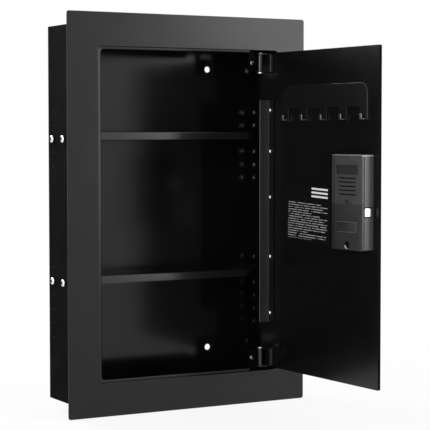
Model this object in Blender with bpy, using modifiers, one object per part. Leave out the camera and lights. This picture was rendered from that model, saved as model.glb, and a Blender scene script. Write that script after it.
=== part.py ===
"""Wall safe for a stud bay, with its door standing open.

A shallow sheet-steel casing sits between two studs behind a flat trim frame. Two
shelves are screwed in through the side walls. The door hangs on two concealed
hinges inside the opening and carries an anti-pry bar, a key rack, a plain label
and a digital lock with a keypad outside and a battery case inside.

X runs to the right as the front is seen, Y into the wall and Z up. The origin is
the centre of the casing's back face. All lengths are in metres.
"""

import math

import bmesh
import bpy
from mathutils import Matrix, Vector

# Casing and trim frame
FRAME_HEIGHT = 0.560
FRAME_WIDTH = 0.380
FRAME_THICKNESS = 0.002
FRAME_CORNER_RADIUS = 0.002
FRAME_BORDER_SIDES = 0.0455
FRAME_BORDER_ENDS = 0.047
OPENING_CORNER_RADIUS = 0.003
FRAME_OVERHANG = 0.016
CASING_DEPTH = 0.102
WALL = 0.0015

# Clearances
SEAM = 0.0003
FASTENER_GAP = 0.0003
SLIDING_GAP = 0.0004
CUT_OVERRUN = 0.002
MERGE_DISTANCE = 0.000001
TURNED_MERGE_DISTANCE = 0.00002

# Domed screw heads, as shares of their radius and height
SCREW_CREST_RADIUS_SHARE = 0.44
SCREW_CREST_HEIGHT_SHARE = 0.97
SCREW_CROWN_SHARE = 0.78
SCREW_SHOULDER_SHARE = 0.35

# Holes in the walls
SHELF_HOLE_RADIUS = 0.0027
SHELF_HOLE_PITCH = 0.020
SHELF_HOLE_FRONT = 0.049
SHELF_HOLE_BACK = 0.0857
UPPER_HOLE_LEVEL_SHARE = 0.2264
LOWER_HOLE_LEVEL_SHARE = -0.20494
UPPER_ROWS_ABOVE = 2
LOWER_ROWS_ABOVE = 1
ROWS_PER_GROUP = 6
STUD_HOLE_RADIUS = 0.003
STUD_HOLE_INSET = 0.055
STUD_HOLE_BACKSET = 0.0385
BACK_HOLE_RADIUS = 0.0045
BACK_HOLE_INSET = 0.0555
BACK_HOLE_SIDE_SHARE = 0.2385

# Door stop frame
STOP_LEFT_WIDTH = 0.0075
STOP_END_WIDTH = 0.0040
STOP_BACKING = 0.0035
STOP_THICKNESS = 0.0015
STOP_RIGHT_INSET = 0.0445
STOP_CORNER_RADIUS = 0.003

# Shelves
SHELF_SHEET = 0.0015
SHELF_FRONT = 0.023
SHELF_LIP = 0.011
SHELF_SIDE_DROP = 0.017
SHELF_SCREW_DROP = 0.010
SHELF_NOTCH_WIDTH = 0.0647
SHELF_NOTCH_DEPTH = 0.021
SHELF_CORNER_RADIUS = 0.0015

# Shelf screws
SHELF_SCREW_HEAD_RADIUS = 0.0052
SHELF_SCREW_HEAD_HEIGHT = 0.0042
SHELF_SCREW_SHANK_RADIUS = 0.0022
SHELF_SCREW_LENGTH = 0.0065

# Door
DOOR_THICKNESS = 0.004
DOOR_LATCH_GAP = 0.0015
DOOR_HINGE_GAP = 0.0025
DOOR_END_GAP = 0.0025
DOOR_CORNER_RADIUS = 0.002
DOOR_OPEN_DEGREES = 92.5

# Hinges
PIVOT_INSET = 0.0195
PIVOT_DEPTH = 0.016
UPPER_HINGE_INSET = 0.017
LOWER_HINGE_INSET = 0.0165
HINGE_HALF_HEIGHT = 0.0135
HINGE_SHEET = 0.0015
PIN_RADIUS = 0.0020
PIN_GAP = 0.0003
PIN_HEAD_RADIUS = 0.0045
PIN_HEAD_HEIGHT = 0.0018
PIN_TIP = 0.0015
KNUCKLE_RADIUS = 0.0042
EAR_RADIUS = 0.0065
LEAF_REACH = 0.0105
LEAF_TAIL = 0.0125
BRACKET_WIDTH = 0.0105
BRACKET_SIDE_GAP = 0.0080
BRACKET_SHEET = 0.0020
BRACKET_FOOT_DEPTH = 0.024
HINGE_SCREW_HEAD_RADIUS = 0.0036
HINGE_SCREW_HEAD_HEIGHT = 0.0026
HINGE_SCREW_SHANK_RADIUS = 0.0016
HINGE_SCREW_TAIL = 0.0025

# Anti-pry bar
BAR_INSET = 0.0242
BAR_HEIGHT = 0.017
BAR_FOOT = 0.012
BAR_SHEET = 0.0015
BAR_TOP_INSET = 0.0715
BAR_BOTTOM_INSET = 0.0695
BAR_SCREW_INSET = 0.0036
BAR_SCREW_SHARES = (0.9554, 0.7708, 0.5646, 0.2969, 0.0415)
BAR_SCREW_HEAD_RADIUS = 0.0030
BAR_SCREW_HEAD_HEIGHT = 0.0024
BAR_SCREW_SHANK_RADIUS = 0.0014
BAR_SCREW_BITE = 0.0025

# Key rack
RACK_EDGE_DISTANCE = 0.0242
RACK_HINGE_INSET = 0.058
RACK_TOP_INSET = 0.0515
RACK_BAR_HEIGHT = 0.0325
RACK_HEIGHT = 0.050
RACK_SHEET = 0.0015
RACK_CORNER_RADIUS = 0.014
RACK_TOOTH_WIDTH = 0.017
RACK_TOOTH_COUNT = 5
RACK_FILLET = 0.002
HOOK_WIDTH = 0.005
HOOK_GAP = 0.0038
HOOK_RISE = 0.0085

# Label
LABEL_LEFT_SHARE = 0.1758
LABEL_WIDTH_SHARE = 0.6317
LABEL_HEIGHT = 0.081
LABEL_ABOVE_CASE_END = 0.0435
LABEL_THICKNESS = 0.0004
LABEL_CORNER_RADIUS = 0.004

# Lock case on the inner face
CASE_EDGE_DISTANCE = 0.0113
CASE_WIDTH = 0.0697
CASE_LEVEL_SHARE = 0.04345
CASE_DEPTH = 0.0185
CASE_WALL = 0.002
CASE_FACE = 0.002
CASE_CORNER_RADIUS = 0.0025
COVER_SPLIT_ABOVE_CASE_END = 0.0631
COVER_THICKNESS = 0.002
COVER_TRAVEL = 0.015
COVER_RECESS_WIDTH = 0.047
COVER_RECESS_HEIGHT = 0.012
COVER_RECESS_ABOVE_CASE_END = 0.1083
COVER_RECESS_DEPTH = 0.0010
GRIP_SLOT_COUNT = 5
GRIP_SLOT_PITCH = 0.0055
GRIP_SLOT_ABOVE_CASE_END = 0.0860
GRIP_SLOT_WIDTH = 0.034
GRIP_SLOT_HEIGHT = 0.0018
GRIP_SLOT_DEPTH = 0.0009
COVER_NOTCH_RADIUS = 0.0024
COVER_TONGUE_WIDTH = 0.012
COVER_TONGUE_HEIGHT = 0.010
COVER_TONGUE_THICKNESS = 0.0012
CASE_PANEL_WIDTH = 0.043
CASE_PANEL_HEIGHT = 0.0142
CASE_PANEL_ABOVE_CASE_END = 0.0312
CASE_PANEL_RISE = 0.0008
CASE_SCREW_ABOVE_CASE_END = 0.0070
CASE_SCREW_WELL_RADIUS = 0.0036
CASE_SCREW_POST_WALL = 0.0014
CASE_SCREW_WELL_FLOOR = 0.0060
CASE_SCREW_HEAD_RADIUS = 0.0030
CASE_SCREW_HEAD_HEIGHT = 0.0020
CASE_SCREW_SHANK_RADIUS = 0.0014
CASE_SCREW_BITE = 0.0025

# Latch bolt and its slide plate
BOLT_ABOVE_CASE_END = 0.0518
BOLT_HEIGHT = 0.0114
BOLT_THICKNESS = 0.0116
BOLT_BACKSET = 0.0036
BOLT_PROUD = 0.0010
BOLT_LENGTH = 0.0220
BOLT_TRAVEL = 0.016
SLIDE_PLATE_THICKNESS = 0.0020
SLIDE_PLATE_BACKSET = 0.0112
SLIDE_PLATE_MARGIN = 0.0055
SLIDE_PLATE_DROP = 0.0170
CAM_PIN_CLEARANCE = 0.0008

# Key cylinder with its cam
KEY_ABOVE_CASE_END = 0.0300
KEY_PLUG_RADIUS = 0.0048
KEY_COLLAR_RADIUS = 0.0075
KEY_COLLAR_HEIGHT = 0.0015
KEY_SLOT_LENGTH = 0.0050
KEY_SLOT_WIDTH = 0.0012
KEY_SLOT_DEPTH = 0.0030
CAM_BACKSET = 0.0085
CAM_THICKNESS = 0.0018
CAM_ARM = 0.0113
CAM_PIN_RADIUS = 0.0015
CAM_PIN_LENGTH = 0.0036
CAM_WIDTH = 0.0052
KEY_TURN_DEGREES = 90.0

# Motor and circuit board
MOTOR_RADIUS = 0.0050
MOTOR_LENGTH = 0.022
MOTOR_INSET = 0.0280
MOTOR_ABOVE_CASE_END = 0.0182
MOTOR_SHAFT_RADIUS = 0.0010
MOTOR_SHAFT_LENGTH = 0.0035
BOARD_EDGE_DISTANCE = 0.0140
BOARD_WIDTH = 0.0230
BOARD_HEIGHT = 0.0240
BOARD_ABOVE_CASE_END = 0.0160
BOARD_THICKNESS = 0.0016
CHIP_WIDTH = 0.0080
CHIP_HEIGHT = 0.0060
CHIP_RISE = 0.0014

# Batteries
CELL_RADIUS = 0.0070
CELL_LENGTH = 0.0490
CELL_TERMINAL_RADIUS = 0.0026
CELL_TERMINAL_LENGTH = 0.0012
CELL_PITCH = 0.0146
CELL_COUNT = 4
CELL_BAY_MARGIN = 0.0070
CELL_FIRST_SETBACK = 0.0094

# Keypad on the outer face
KEYPAD_WIDTH = 0.066
KEYPAD_HEIGHT = 0.118
KEYPAD_DEPTH = 0.009
KEYPAD_CORNER_RADIUS = 0.007
KEYPAD_ABOVE_CASE_END = 0.0642
KEY_POCKET_DEPTH = 0.0052
BUTTON_WIDTH = 0.0125
BUTTON_HEIGHT = 0.0095
BUTTON_DEPTH = 0.0055
BUTTON_CORNER_RADIUS = 0.0015
BUTTON_TRAVEL = 0.0010
BUTTON_GAP = 0.0004
BUTTON_FLOOR_GAP = 0.0013
BUTTON_COLUMN_PITCH = 0.0170
BUTTON_ROW_PITCH = 0.0135
BUTTON_TOP_ABOVE_CASE_END = 0.1000
DISPLAY_WIDTH = 0.030
DISPLAY_HEIGHT = 0.0060
DISPLAY_ABOVE_CASE_END = 0.1140
DISPLAY_DEPTH = 0.0008
BUTTON_NAMES = (("1", "2", "3"), ("4", "5", "6"), ("7", "8", "9"), ("clear", "0", "enter"))

# Facets
ROUND_SIDES = 16
MOUNT_HOLE_SIDES = 32
SMALL_ROUND_SIDES = 10
ARC_STEPS = 4

# Places worked out from the sizes above
BODY_WIDTH = FRAME_WIDTH - 2 * FRAME_OVERHANG
BODY_HEIGHT = FRAME_HEIGHT - 2 * FRAME_OVERHANG
FRONT = -CASING_DEPTH
FRAME_BACK = FRONT + FRAME_THICKNESS
INNER_SIDE = BODY_WIDTH / 2 - WALL
INNER_TOP = BODY_HEIGHT / 2 - WALL
WALL_FRONT = FRAME_BACK + SEAM
WALL_BACK = -WALL - SEAM
OPENING_WIDTH = FRAME_WIDTH - 2 * FRAME_BORDER_SIDES
OPENING_HEIGHT = FRAME_HEIGHT - 2 * FRAME_BORDER_ENDS
OPENING_SIDE = OPENING_WIDTH / 2
OPENING_TOP = OPENING_HEIGHT / 2
UPPER_HOLE_LEVEL = UPPER_HOLE_LEVEL_SHARE * OPENING_HEIGHT
LOWER_HOLE_LEVEL = LOWER_HOLE_LEVEL_SHARE * OPENING_HEIGHT
STUD_HOLE_LEVEL = BODY_HEIGHT / 2 - STUD_HOLE_INSET
BACK_HOLE_LEVEL = BODY_HEIGHT / 2 - BACK_HOLE_INSET
BACK_HOLE_SIDE = BACK_HOLE_SIDE_SHARE * BODY_WIDTH
STOP_RIGHT_END = OPENING_SIDE - STOP_RIGHT_INSET
PIVOT_SIDE = OPENING_SIDE - PIVOT_INSET
UPPER_HINGE_LEVEL = OPENING_TOP - UPPER_HINGE_INSET
LOWER_HINGE_LEVEL = LOWER_HINGE_INSET - OPENING_TOP
DOOR_WIDTH = OPENING_WIDTH - DOOR_LATCH_GAP - DOOR_HINGE_GAP
DOOR_HEIGHT = OPENING_HEIGHT - 2 * DOOR_END_GAP
DOOR_FREE_EDGE = DOOR_LATCH_GAP - OPENING_SIDE - PIVOT_SIDE
DOOR_OUTER_FACE = -PIVOT_DEPTH
DOOR_INNER_FACE = DOOR_OUTER_FACE + DOOR_THICKNESS
CASE_CENTRE = CASE_EDGE_DISTANCE + CASE_WIDTH / 2
CASE_HEIGHT = COVER_SPLIT_ABOVE_CASE_END + CELL_COUNT * CELL_PITCH + CELL_BAY_MARGIN
CASE_BOTTOM = CASE_LEVEL_SHARE * OPENING_HEIGHT - CASE_HEIGHT / 2
LABEL_LEVEL = CASE_BOTTOM + LABEL_ABOVE_CASE_END
COVER_SPLIT_LEVEL = CASE_BOTTOM + COVER_SPLIT_ABOVE_CASE_END
COVER_RECESS_LEVEL = CASE_BOTTOM + COVER_RECESS_ABOVE_CASE_END
GRIP_SLOT_LEVEL = CASE_BOTTOM + GRIP_SLOT_ABOVE_CASE_END
CASE_PANEL_LEVEL = CASE_BOTTOM + CASE_PANEL_ABOVE_CASE_END
CASE_SCREW_LEVEL = CASE_BOTTOM + CASE_SCREW_ABOVE_CASE_END
BOLT_LEVEL = CASE_BOTTOM + BOLT_ABOVE_CASE_END
KEY_LEVEL = CASE_BOTTOM + KEY_ABOVE_CASE_END
MOTOR_LEVEL = CASE_BOTTOM + MOTOR_ABOVE_CASE_END
BOARD_LEVEL = CASE_BOTTOM + BOARD_ABOVE_CASE_END
CELL_FIRST_LEVEL = COVER_SPLIT_LEVEL + CELL_FIRST_SETBACK
KEYPAD_LEVEL = CASE_BOTTOM + KEYPAD_ABOVE_CASE_END
BUTTON_TOP_LEVEL = CASE_BOTTOM + BUTTON_TOP_ABOVE_CASE_END
DISPLAY_LEVEL = CASE_BOTTOM + DISPLAY_ABOVE_CASE_END
MOTOR_EDGE_DISTANCE = CASE_EDGE_DISTANCE + CASE_WIDTH - MOTOR_INSET
BAR_EDGE_DISTANCE = DOOR_WIDTH - BAR_INSET
BAR_TOP = OPENING_TOP - BAR_TOP_INSET
BAR_BOTTOM = BAR_BOTTOM_INSET - OPENING_TOP
RACK_LENGTH = DOOR_WIDTH - RACK_EDGE_DISTANCE - RACK_HINGE_INSET
RACK_TOP = OPENING_TOP - RACK_TOP_INSET
LABEL_SPACE = BAR_EDGE_DISTANCE - BAR_FOOT - CASE_EDGE_DISTANCE - CASE_WIDTH
LABEL_EDGE_DISTANCE = CASE_EDGE_DISTANCE + CASE_WIDTH + LABEL_LEFT_SHARE * LABEL_SPACE
LABEL_WIDTH = LABEL_WIDTH_SHARE * LABEL_SPACE
BOLT_CAM_OFFSET = CAM_ARM * math.sin(math.radians(KEY_TURN_DEGREES / 2))

# Turns that lay a flat outline's own X and Y along two of the object's axes
LAY_XZ = (math.pi / 2, 0.0, 0.0)
LAY_YZ = (math.pi / 2, 0.0, math.pi / 2)
LAY_XY = (0.0, 0.0, 0.0)
TURN_TO_X = (0.0, math.pi / 2, 0.0)
TURN_TO_MINUS_X = (0.0, -math.pi / 2, 0.0)
TURN_TO_Y = (-math.pi / 2, 0.0, 0.0)
TURN_TO_MINUS_Y = (math.pi / 2, 0.0, 0.0)
UPRIGHT = (0.0, 0.0, 0.0)

# Materials: colour, roughness, metallic
FINISHES = {
    "black_paint": ((0.012, 0.012, 0.013), 0.42, 0.0),
    "black_plastic": ((0.016, 0.016, 0.017), 0.50, 0.0),
    "chrome": ((0.78, 0.78, 0.80), 0.16, 1.0),
    "zinc": ((0.55, 0.56, 0.58), 0.34, 1.0),
    "label_film": ((0.010, 0.010, 0.011), 0.35, 0.0),
    "board": ((0.02, 0.16, 0.06), 0.55, 0.0),
    "cell_wrap": ((0.03, 0.05, 0.16), 0.40, 0.0),
    "key_rubber": ((0.32, 0.33, 0.34), 0.60, 0.0),
}


def clear_scene():
    """Remove whatever the scene holds."""
    for old in list(bpy.data.objects):
        bpy.data.objects.remove(old, do_unlink=True)


def make_collection(name):
    """Add a collection to the scene."""
    made = bpy.data.collections.new(name)
    bpy.context.scene.collection.children.link(made)
    return made


def make_material(label, finish):
    """One Principled material for one sub-part."""
    colour, roughness, metallic = FINISHES[finish]
    made = bpy.data.materials.new(label)
    made.use_nodes = True
    shader = made.node_tree.nodes["Principled BSDF"]
    shader.inputs["Base Color"].default_value = (*colour, 1.0)
    shader.inputs["Roughness"].default_value = roughness
    shader.inputs["Metallic"].default_value = metallic
    return made


class Shop:
    """Collections, the joint empties and the finishing of each sub-part."""

    def __init__(self):
        self.parts = make_collection("wall_safe")
        self.cutters = make_collection("cutters")
        self.empties = {}

    def pivot(self, name, place, turn=UPRIGHT, parent=None):
        """An empty on a joint's axis, which the moving pieces hang from."""
        empty = bpy.data.objects.new(name, None)
        empty.location = place
        empty.rotation_euler = turn
        empty.parent = parent
        self.parts.objects.link(empty)
        self.empties[name] = empty
        return empty

    def add(self, obj, name, finish, parent=None, smooth=False):
        """Name a finished piece, give it its own material and hang it from its parent."""
        for group in list(obj.users_collection):
            group.objects.unlink(obj)
        self.parts.objects.link(obj)
        obj.name = name
        obj.data.name = name
        obj.parent = parent
        obj.data.materials.clear()
        obj.data.materials.append(make_material(name, finish))
        if smooth:
            obj.data.shade_smooth()
            obj.data.set_sharp_from_angle(angle=math.radians(35.0))
        return obj

    def cutter(self, obj, parent=None):
        """Put a cutter away where it neither shows nor counts."""
        for group in list(obj.users_collection):
            group.objects.unlink(obj)
        self.cutters.objects.link(obj)
        obj.parent = parent
        obj.hide_render = True
        obj.display_type = "WIRE"
        return obj


def link_new(name, data):
    """An object for new data, in the scene's own collection until it is added."""
    obj = bpy.data.objects.new(name, data)
    bpy.context.scene.collection.objects.link(obj)
    return obj


def box(low, high):
    """A box between two corners, with its origin at its centre."""
    low = Vector(low)
    high = Vector(high)
    shape = bmesh.new()
    bmesh.ops.create_cube(shape, size=1.0, matrix=Matrix.Diagonal((high - low).to_4d()))
    mesh = bpy.data.meshes.new("box")
    shape.to_mesh(mesh)
    shape.free()
    obj = link_new("box", mesh)
    obj.location = (low + high) / 2
    return obj


def rod(start, length, radius, turn=UPRIGHT, sides=ROUND_SIDES):
    """A cylinder that runs from start along its own Z, turned as asked."""
    shape = bmesh.new()
    bmesh.ops.create_cone(shape, cap_ends=True, segments=sides, radius1=radius, radius2=radius,
                          depth=length, matrix=Matrix.Translation((0.0, 0.0, length / 2)))
    mesh = bpy.data.meshes.new("rod")
    shape.to_mesh(mesh)
    shape.free()
    obj = link_new("rod", mesh)
    obj.location = start
    obj.rotation_euler = turn
    return obj


def turned(profile, place, turn=UPRIGHT, sides=ROUND_SIDES):
    """A turned solid: the profile holds (radius, height) pairs from the top down."""
    mesh = bpy.data.meshes.new("profile")
    points = [(radius, 0.0, height) for radius, height in profile]
    edges = [(i, i + 1) for i in range(len(points) - 1)]
    mesh.from_pydata(points, edges, [])
    obj = link_new("turned", mesh)
    screw = obj.modifiers.new("Turn", "SCREW")
    screw.axis = "Z"
    screw.angle = math.tau
    screw.steps = sides
    screw.render_steps = sides
    screw.use_merge_vertices = True
    screw.merge_threshold = TURNED_MERGE_DISTANCE
    obj.location = place
    obj.rotation_euler = turn
    return obj


def arc(centre, radius, start, end, steps=ARC_STEPS):
    """Points on an arc, both ends included; the angles are in degrees."""
    points = []
    for i in range(steps + 1):
        angle = math.radians(start + (end - start) * i / steps)
        points.append((centre[0] + radius * math.cos(angle), centre[1] + radius * math.sin(angle)))
    return points


def rounded_rectangle(left, bottom, right, top, radius):
    """A rectangle's outline with four round corners."""
    r = radius
    return (arc((right - r, bottom + r), r, -90, 0) + arc((right - r, top - r), r, 0, 90)
            + arc((left + r, top - r), r, 90, 180) + arc((left + r, bottom + r), r, 180, 270))


def circle(centre, radius, sides=SMALL_ROUND_SIDES):
    """A closed ring of points."""
    return arc(centre, radius, 0, 360, sides)[:-1]


def sheet(outlines, thickness, place, turn):
    """A flat piece cut from its outline; later outlines inside the first are holes."""
    curve = bpy.data.curves.new("outline", "CURVE")
    curve.dimensions = "2D"
    curve.fill_mode = "BOTH"
    curve.extrude = thickness / 2
    for outline in outlines:
        spline = curve.splines.new("POLY")
        spline.points.add(len(outline) - 1)
        for point, (x, y) in zip(spline.points, outline):
            point.co = (x, y, 0.0, 1.0)
        spline.use_cyclic_u = True
    obj = link_new("sheet", curve)
    obj.location = place
    obj.rotation_euler = turn
    return obj


def to_mesh(obj):
    """Make a curve's solid a mesh, so that it can be cut or joined."""
    bpy.context.view_layer.update()
    evaluated = obj.evaluated_get(bpy.context.evaluated_depsgraph_get())
    mesh = bpy.data.meshes.new_from_object(evaluated)
    shape = bmesh.new()
    shape.from_mesh(mesh)
    bmesh.ops.remove_doubles(shape, verts=shape.verts, dist=MERGE_DISTANCE)
    shape.to_mesh(mesh)
    shape.free()
    made = link_new("solid", mesh)
    made.matrix_world = obj.matrix_world
    bpy.data.objects.remove(obj, do_unlink=True)
    return made


def combine(shop, target, other, operation):
    """One Boolean of two solids that share a parent's space."""
    tool = to_mesh(other) if other.type == "CURVE" or other.modifiers else other
    shop.cutter(tool)
    step = target.modifiers.new(operation.title(), "BOOLEAN")
    step.operation = operation
    step.solver = "EXACT"
    step.object = tool


def build_on(shop, base, joins=(), cuts=()):
    """Join solids to a base and cut others from it, then keep the result as one mesh."""
    solid = to_mesh(base) if base.type == "CURVE" or base.modifiers else base
    for piece in joins:
        combine(shop, solid, piece, "UNION")
    for piece in cuts:
        combine(shop, solid, piece, "DIFFERENCE")
    made = to_mesh(solid)
    for tool in list(shop.cutters.objects):
        bpy.data.objects.remove(tool, do_unlink=True)
    return made


def soften(obj, width, segments=1, angle=50.0):
    """Round a solid's sharp edges."""
    bevel = obj.modifiers.new("Soft edges", "BEVEL")
    bevel.width = width
    bevel.segments = segments
    bevel.limit_method = "ANGLE"
    bevel.angle_limit = math.radians(angle)
    return obj


def pan_screw(head_radius, head_height, shank_radius, shank_length):
    """Profile of a domed screw whose head's underside is at height zero."""
    return [
        (0.0, head_height),
        (head_radius * SCREW_CREST_RADIUS_SHARE, head_height * SCREW_CREST_HEIGHT_SHARE),
        (head_radius * SCREW_CROWN_SHARE, head_height * SCREW_CROWN_SHARE),
        (head_radius, head_height * SCREW_SHOULDER_SHARE),
        (head_radius, 0.0),
        (shank_radius, 0.0),
        (shank_radius, -shank_length),
        (0.0, -shank_length),
    ]


def door_x(distance):
    """Local X of a point at a distance from the door's free edge."""
    return DOOR_FREE_EDGE + distance


def door_y(height):
    """Local Y of a point that stands off the door's inner face."""
    return DOOR_INNER_FACE + height


def hole_levels():
    """Heights of the shelf holes, one group for each shelf."""
    levels = []
    for level, above in ((UPPER_HOLE_LEVEL, UPPER_ROWS_ABOVE), (LOWER_HOLE_LEVEL, LOWER_ROWS_ABOVE)):
        for row in range(ROWS_PER_GROUP):
            levels.append(level + (above - row) * SHELF_HOLE_PITCH)
    return levels


def build_casing(shop):
    """The five sheet panels behind the frame."""
    side_holes = []
    for depth in (SHELF_HOLE_FRONT, SHELF_HOLE_BACK):
        for level in hole_levels():
            side_holes.append(circle((FRONT + depth, level), SHELF_HOLE_RADIUS, 8))
    for level in (STUD_HOLE_LEVEL, -STUD_HOLE_LEVEL):
        side_holes.append(circle((-STUD_HOLE_BACKSET, level), STUD_HOLE_RADIUS, MOUNT_HOLE_SIDES))
    half = BODY_HEIGHT / 2
    outline = [(WALL_FRONT, -half), (WALL_BACK, -half), (WALL_BACK, half), (WALL_FRONT, half)]
    for name, sign in (("left_side_panel", -1), ("right_side_panel", 1)):
        place = (sign * (BODY_WIDTH / 2 - WALL / 2), 0.0, 0.0)
        shop.add(sheet([outline] + side_holes, WALL, place, LAY_YZ), name, "black_paint")
    across = INNER_SIDE - SEAM
    for name, sign in (("top_panel", 1), ("bottom_panel", -1)):
        level = sign * (BODY_HEIGHT / 2 - WALL / 2)
        panel = box((-across, WALL_FRONT, level - WALL / 2), (across, WALL_BACK, level + WALL / 2))
        shop.add(panel, name, "black_paint")
    side = BODY_WIDTH / 2
    back = [(-side, -half), (side, -half), (side, half), (-side, half)]
    holes = [circle((BACK_HOLE_SIDE, level), BACK_HOLE_RADIUS, MOUNT_HOLE_SIDES)
             for level in (BACK_HOLE_LEVEL, -BACK_HOLE_LEVEL)]
    shop.add(sheet([back] + holes, WALL, (0.0, -WALL / 2, 0.0), LAY_XZ), "back_panel", "black_paint")


def build_frame(shop):
    """The flat trim frame that covers the edge of the wall's cut-out."""
    outer = rounded_rectangle(-FRAME_WIDTH / 2, -FRAME_HEIGHT / 2, FRAME_WIDTH / 2, FRAME_HEIGHT / 2,
                              FRAME_CORNER_RADIUS)
    opening = rounded_rectangle(-OPENING_SIDE, -OPENING_TOP, OPENING_SIDE, OPENING_TOP,
                                OPENING_CORNER_RADIUS)
    place = (0.0, FRONT + FRAME_THICKNESS / 2, 0.0)
    shop.add(sheet([outer, opening], FRAME_THICKNESS, place, LAY_XZ), "trim_frame", "black_paint")


def build_door_stop(shop):
    """The rebated strip behind the opening that the closed door lands on."""
    back = FRONT + DOOR_THICKNESS + SEAM + STOP_THICKNESS
    front = FRAME_BACK + SEAM
    left = -OPENING_SIDE - STOP_BACKING
    top = OPENING_TOP + STOP_BACKING
    inner_left = -OPENING_SIDE + STOP_LEFT_WIDTH
    inner_top = OPENING_TOP - STOP_END_WIDTH
    corner = STOP_CORNER_RADIUS
    outline = [(STOP_RIGHT_END, -top), (STOP_RIGHT_END, -inner_top)]
    outline += arc((inner_left + corner, -inner_top + corner), corner, 270, 180)
    outline += arc((inner_left + corner, inner_top - corner), corner, 180, 90)
    outline += [(STOP_RIGHT_END, inner_top), (STOP_RIGHT_END, top), (left, top), (left, -top)]
    place = (0.0, (front + back) / 2, 0.0)
    solid = sheet([outline], back - front, place, LAY_XZ)
    reach = STOP_RIGHT_END + CUT_OVERRUN
    rebate = box((-OPENING_SIDE, front - CUT_OVERRUN, -OPENING_TOP),
                 (reach, back - STOP_THICKNESS, OPENING_TOP))
    shop.add(build_on(shop, solid, cuts=[rebate]), "door_stop_frame", "black_paint")


def shelf_outline(inset):
    """A shelf's plan, drawn in by an inset: a rectangle with its right front corner cut away."""
    left = -INNER_SIDE + SEAM + inset
    right = INNER_SIDE - SEAM - inset
    front = FRONT + SHELF_FRONT + inset
    back = WALL_BACK - inset
    notch_left = INNER_SIDE - SHELF_NOTCH_WIDTH - inset
    notch_back = FRONT + SHELF_FRONT + SHELF_NOTCH_DEPTH + inset
    return [(left, front), (notch_left, front), (notch_left, notch_back), (right, notch_back),
            (right, back), (left, back)]


def build_shelf(shop, name, hole_level):
    """A folded tray shelf with a front lip and deeper flanges at its sides."""
    top = hole_level + SHELF_SCREW_DROP
    deep = SHELF_SIDE_DROP
    solid = sheet([shelf_outline(0.0)], deep, (0.0, 0.0, top - deep / 2), LAY_XY)
    hollow_top = top - SHELF_SHEET
    hollow_depth = deep + CUT_OVERRUN
    hollow = sheet([shelf_outline(SHELF_SHEET)], hollow_depth,
                   (0.0, 0.0, hollow_top - hollow_depth / 2), LAY_XY)
    side = INNER_SIDE - SEAM - SHELF_SHEET
    below_lip = box((-side, FRONT, top - deep - CUT_OVERRUN), (side, WALL_BACK + CUT_OVERRUN, top - SHELF_LIP))
    holes = []
    for depth in (SHELF_HOLE_FRONT, SHELF_HOLE_BACK):
        holes.append(rod((-INNER_SIDE - CUT_OVERRUN, FRONT + depth, hole_level), 2 * (INNER_SIDE + CUT_OVERRUN),
                         SHELF_HOLE_RADIUS, TURN_TO_X, SMALL_ROUND_SIDES))
    shop.add(build_on(shop, solid, cuts=[hollow, below_lip] + holes), name, "black_paint")


def build_shelf_screws(shop):
    """Domed screws through the side walls into the shelves' flanges."""
    profile = pan_screw(SHELF_SCREW_HEAD_RADIUS, SHELF_SCREW_HEAD_HEIGHT, SHELF_SCREW_SHANK_RADIUS,
                        SHELF_SCREW_LENGTH)
    seat = BODY_WIDTH / 2 + FASTENER_GAP
    for shelf, level in (("upper", UPPER_HOLE_LEVEL), ("lower", LOWER_HOLE_LEVEL)):
        for side, sign, turn in (("left", -1, TURN_TO_MINUS_X), ("right", 1, TURN_TO_X)):
            for row, depth in (("front", SHELF_HOLE_FRONT), ("back", SHELF_HOLE_BACK)):
                screw = turned(profile, (sign * seat, FRONT + depth, level), turn, 12)
                shop.add(screw, f"{shelf}_shelf_screw_{side}_{row}", "chrome", smooth=True)


def build_hinge_bracket(shop, name, level, sign):
    """Angle bracket from the casing's end panel, with a knuckle for the hinge pin."""
    pin_x = PIVOT_SIDE
    pin_y = FRONT + PIVOT_DEPTH
    plate_front = pin_y + KNUCKLE_RADIUS - BRACKET_SHEET
    plate_back = pin_y + KNUCKLE_RADIUS
    right = pin_x - BRACKET_SIDE_GAP
    left = right - BRACKET_WIDTH
    half = HINGE_HALF_HEIGHT - HINGE_SHEET - SEAM
    end = INNER_TOP - SEAM
    low = min(sign * end, level - sign * half)
    high = max(sign * end, level - sign * half)
    hanger = box((left, plate_front, low), (right, plate_back, high))
    arm = box((right - CUT_OVERRUN, plate_front, level - half), (pin_x, plate_back, level + half))
    knuckle = rod((pin_x, pin_y, level - half), 2 * half, KNUCKLE_RADIUS)
    foot_low = min(sign * end, sign * (end - BRACKET_SHEET))
    foot_high = max(sign * end, sign * (end - BRACKET_SHEET))
    foot = box((left, plate_front, foot_low), (right, plate_front + BRACKET_FOOT_DEPTH, foot_high))
    bore = rod((pin_x, pin_y, level - half - CUT_OVERRUN), 2 * (half + CUT_OVERRUN), PIN_RADIUS + PIN_GAP)
    hole = rod(((left + right) / 2, plate_front - CUT_OVERRUN, level), BRACKET_SHEET + 2 * CUT_OVERRUN,
               HINGE_SCREW_SHANK_RADIUS + FASTENER_GAP, TURN_TO_Y, SMALL_ROUND_SIDES)
    solid = build_on(shop, hanger, joins=[arm, knuckle, foot], cuts=[bore, hole])
    shop.add(solid, f"{name}_hinge_bracket", "black_paint", smooth=True)
    profile = pan_screw(HINGE_SCREW_HEAD_RADIUS, HINGE_SCREW_HEAD_HEIGHT, HINGE_SCREW_SHANK_RADIUS,
                        BRACKET_SHEET + HINGE_SCREW_TAIL)
    screw = turned(profile, ((left + right) / 2, plate_front - FASTENER_GAP, level), TURN_TO_MINUS_Y, 12)
    shop.add(screw, f"{name}_hinge_screw", "chrome", smooth=True)


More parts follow.
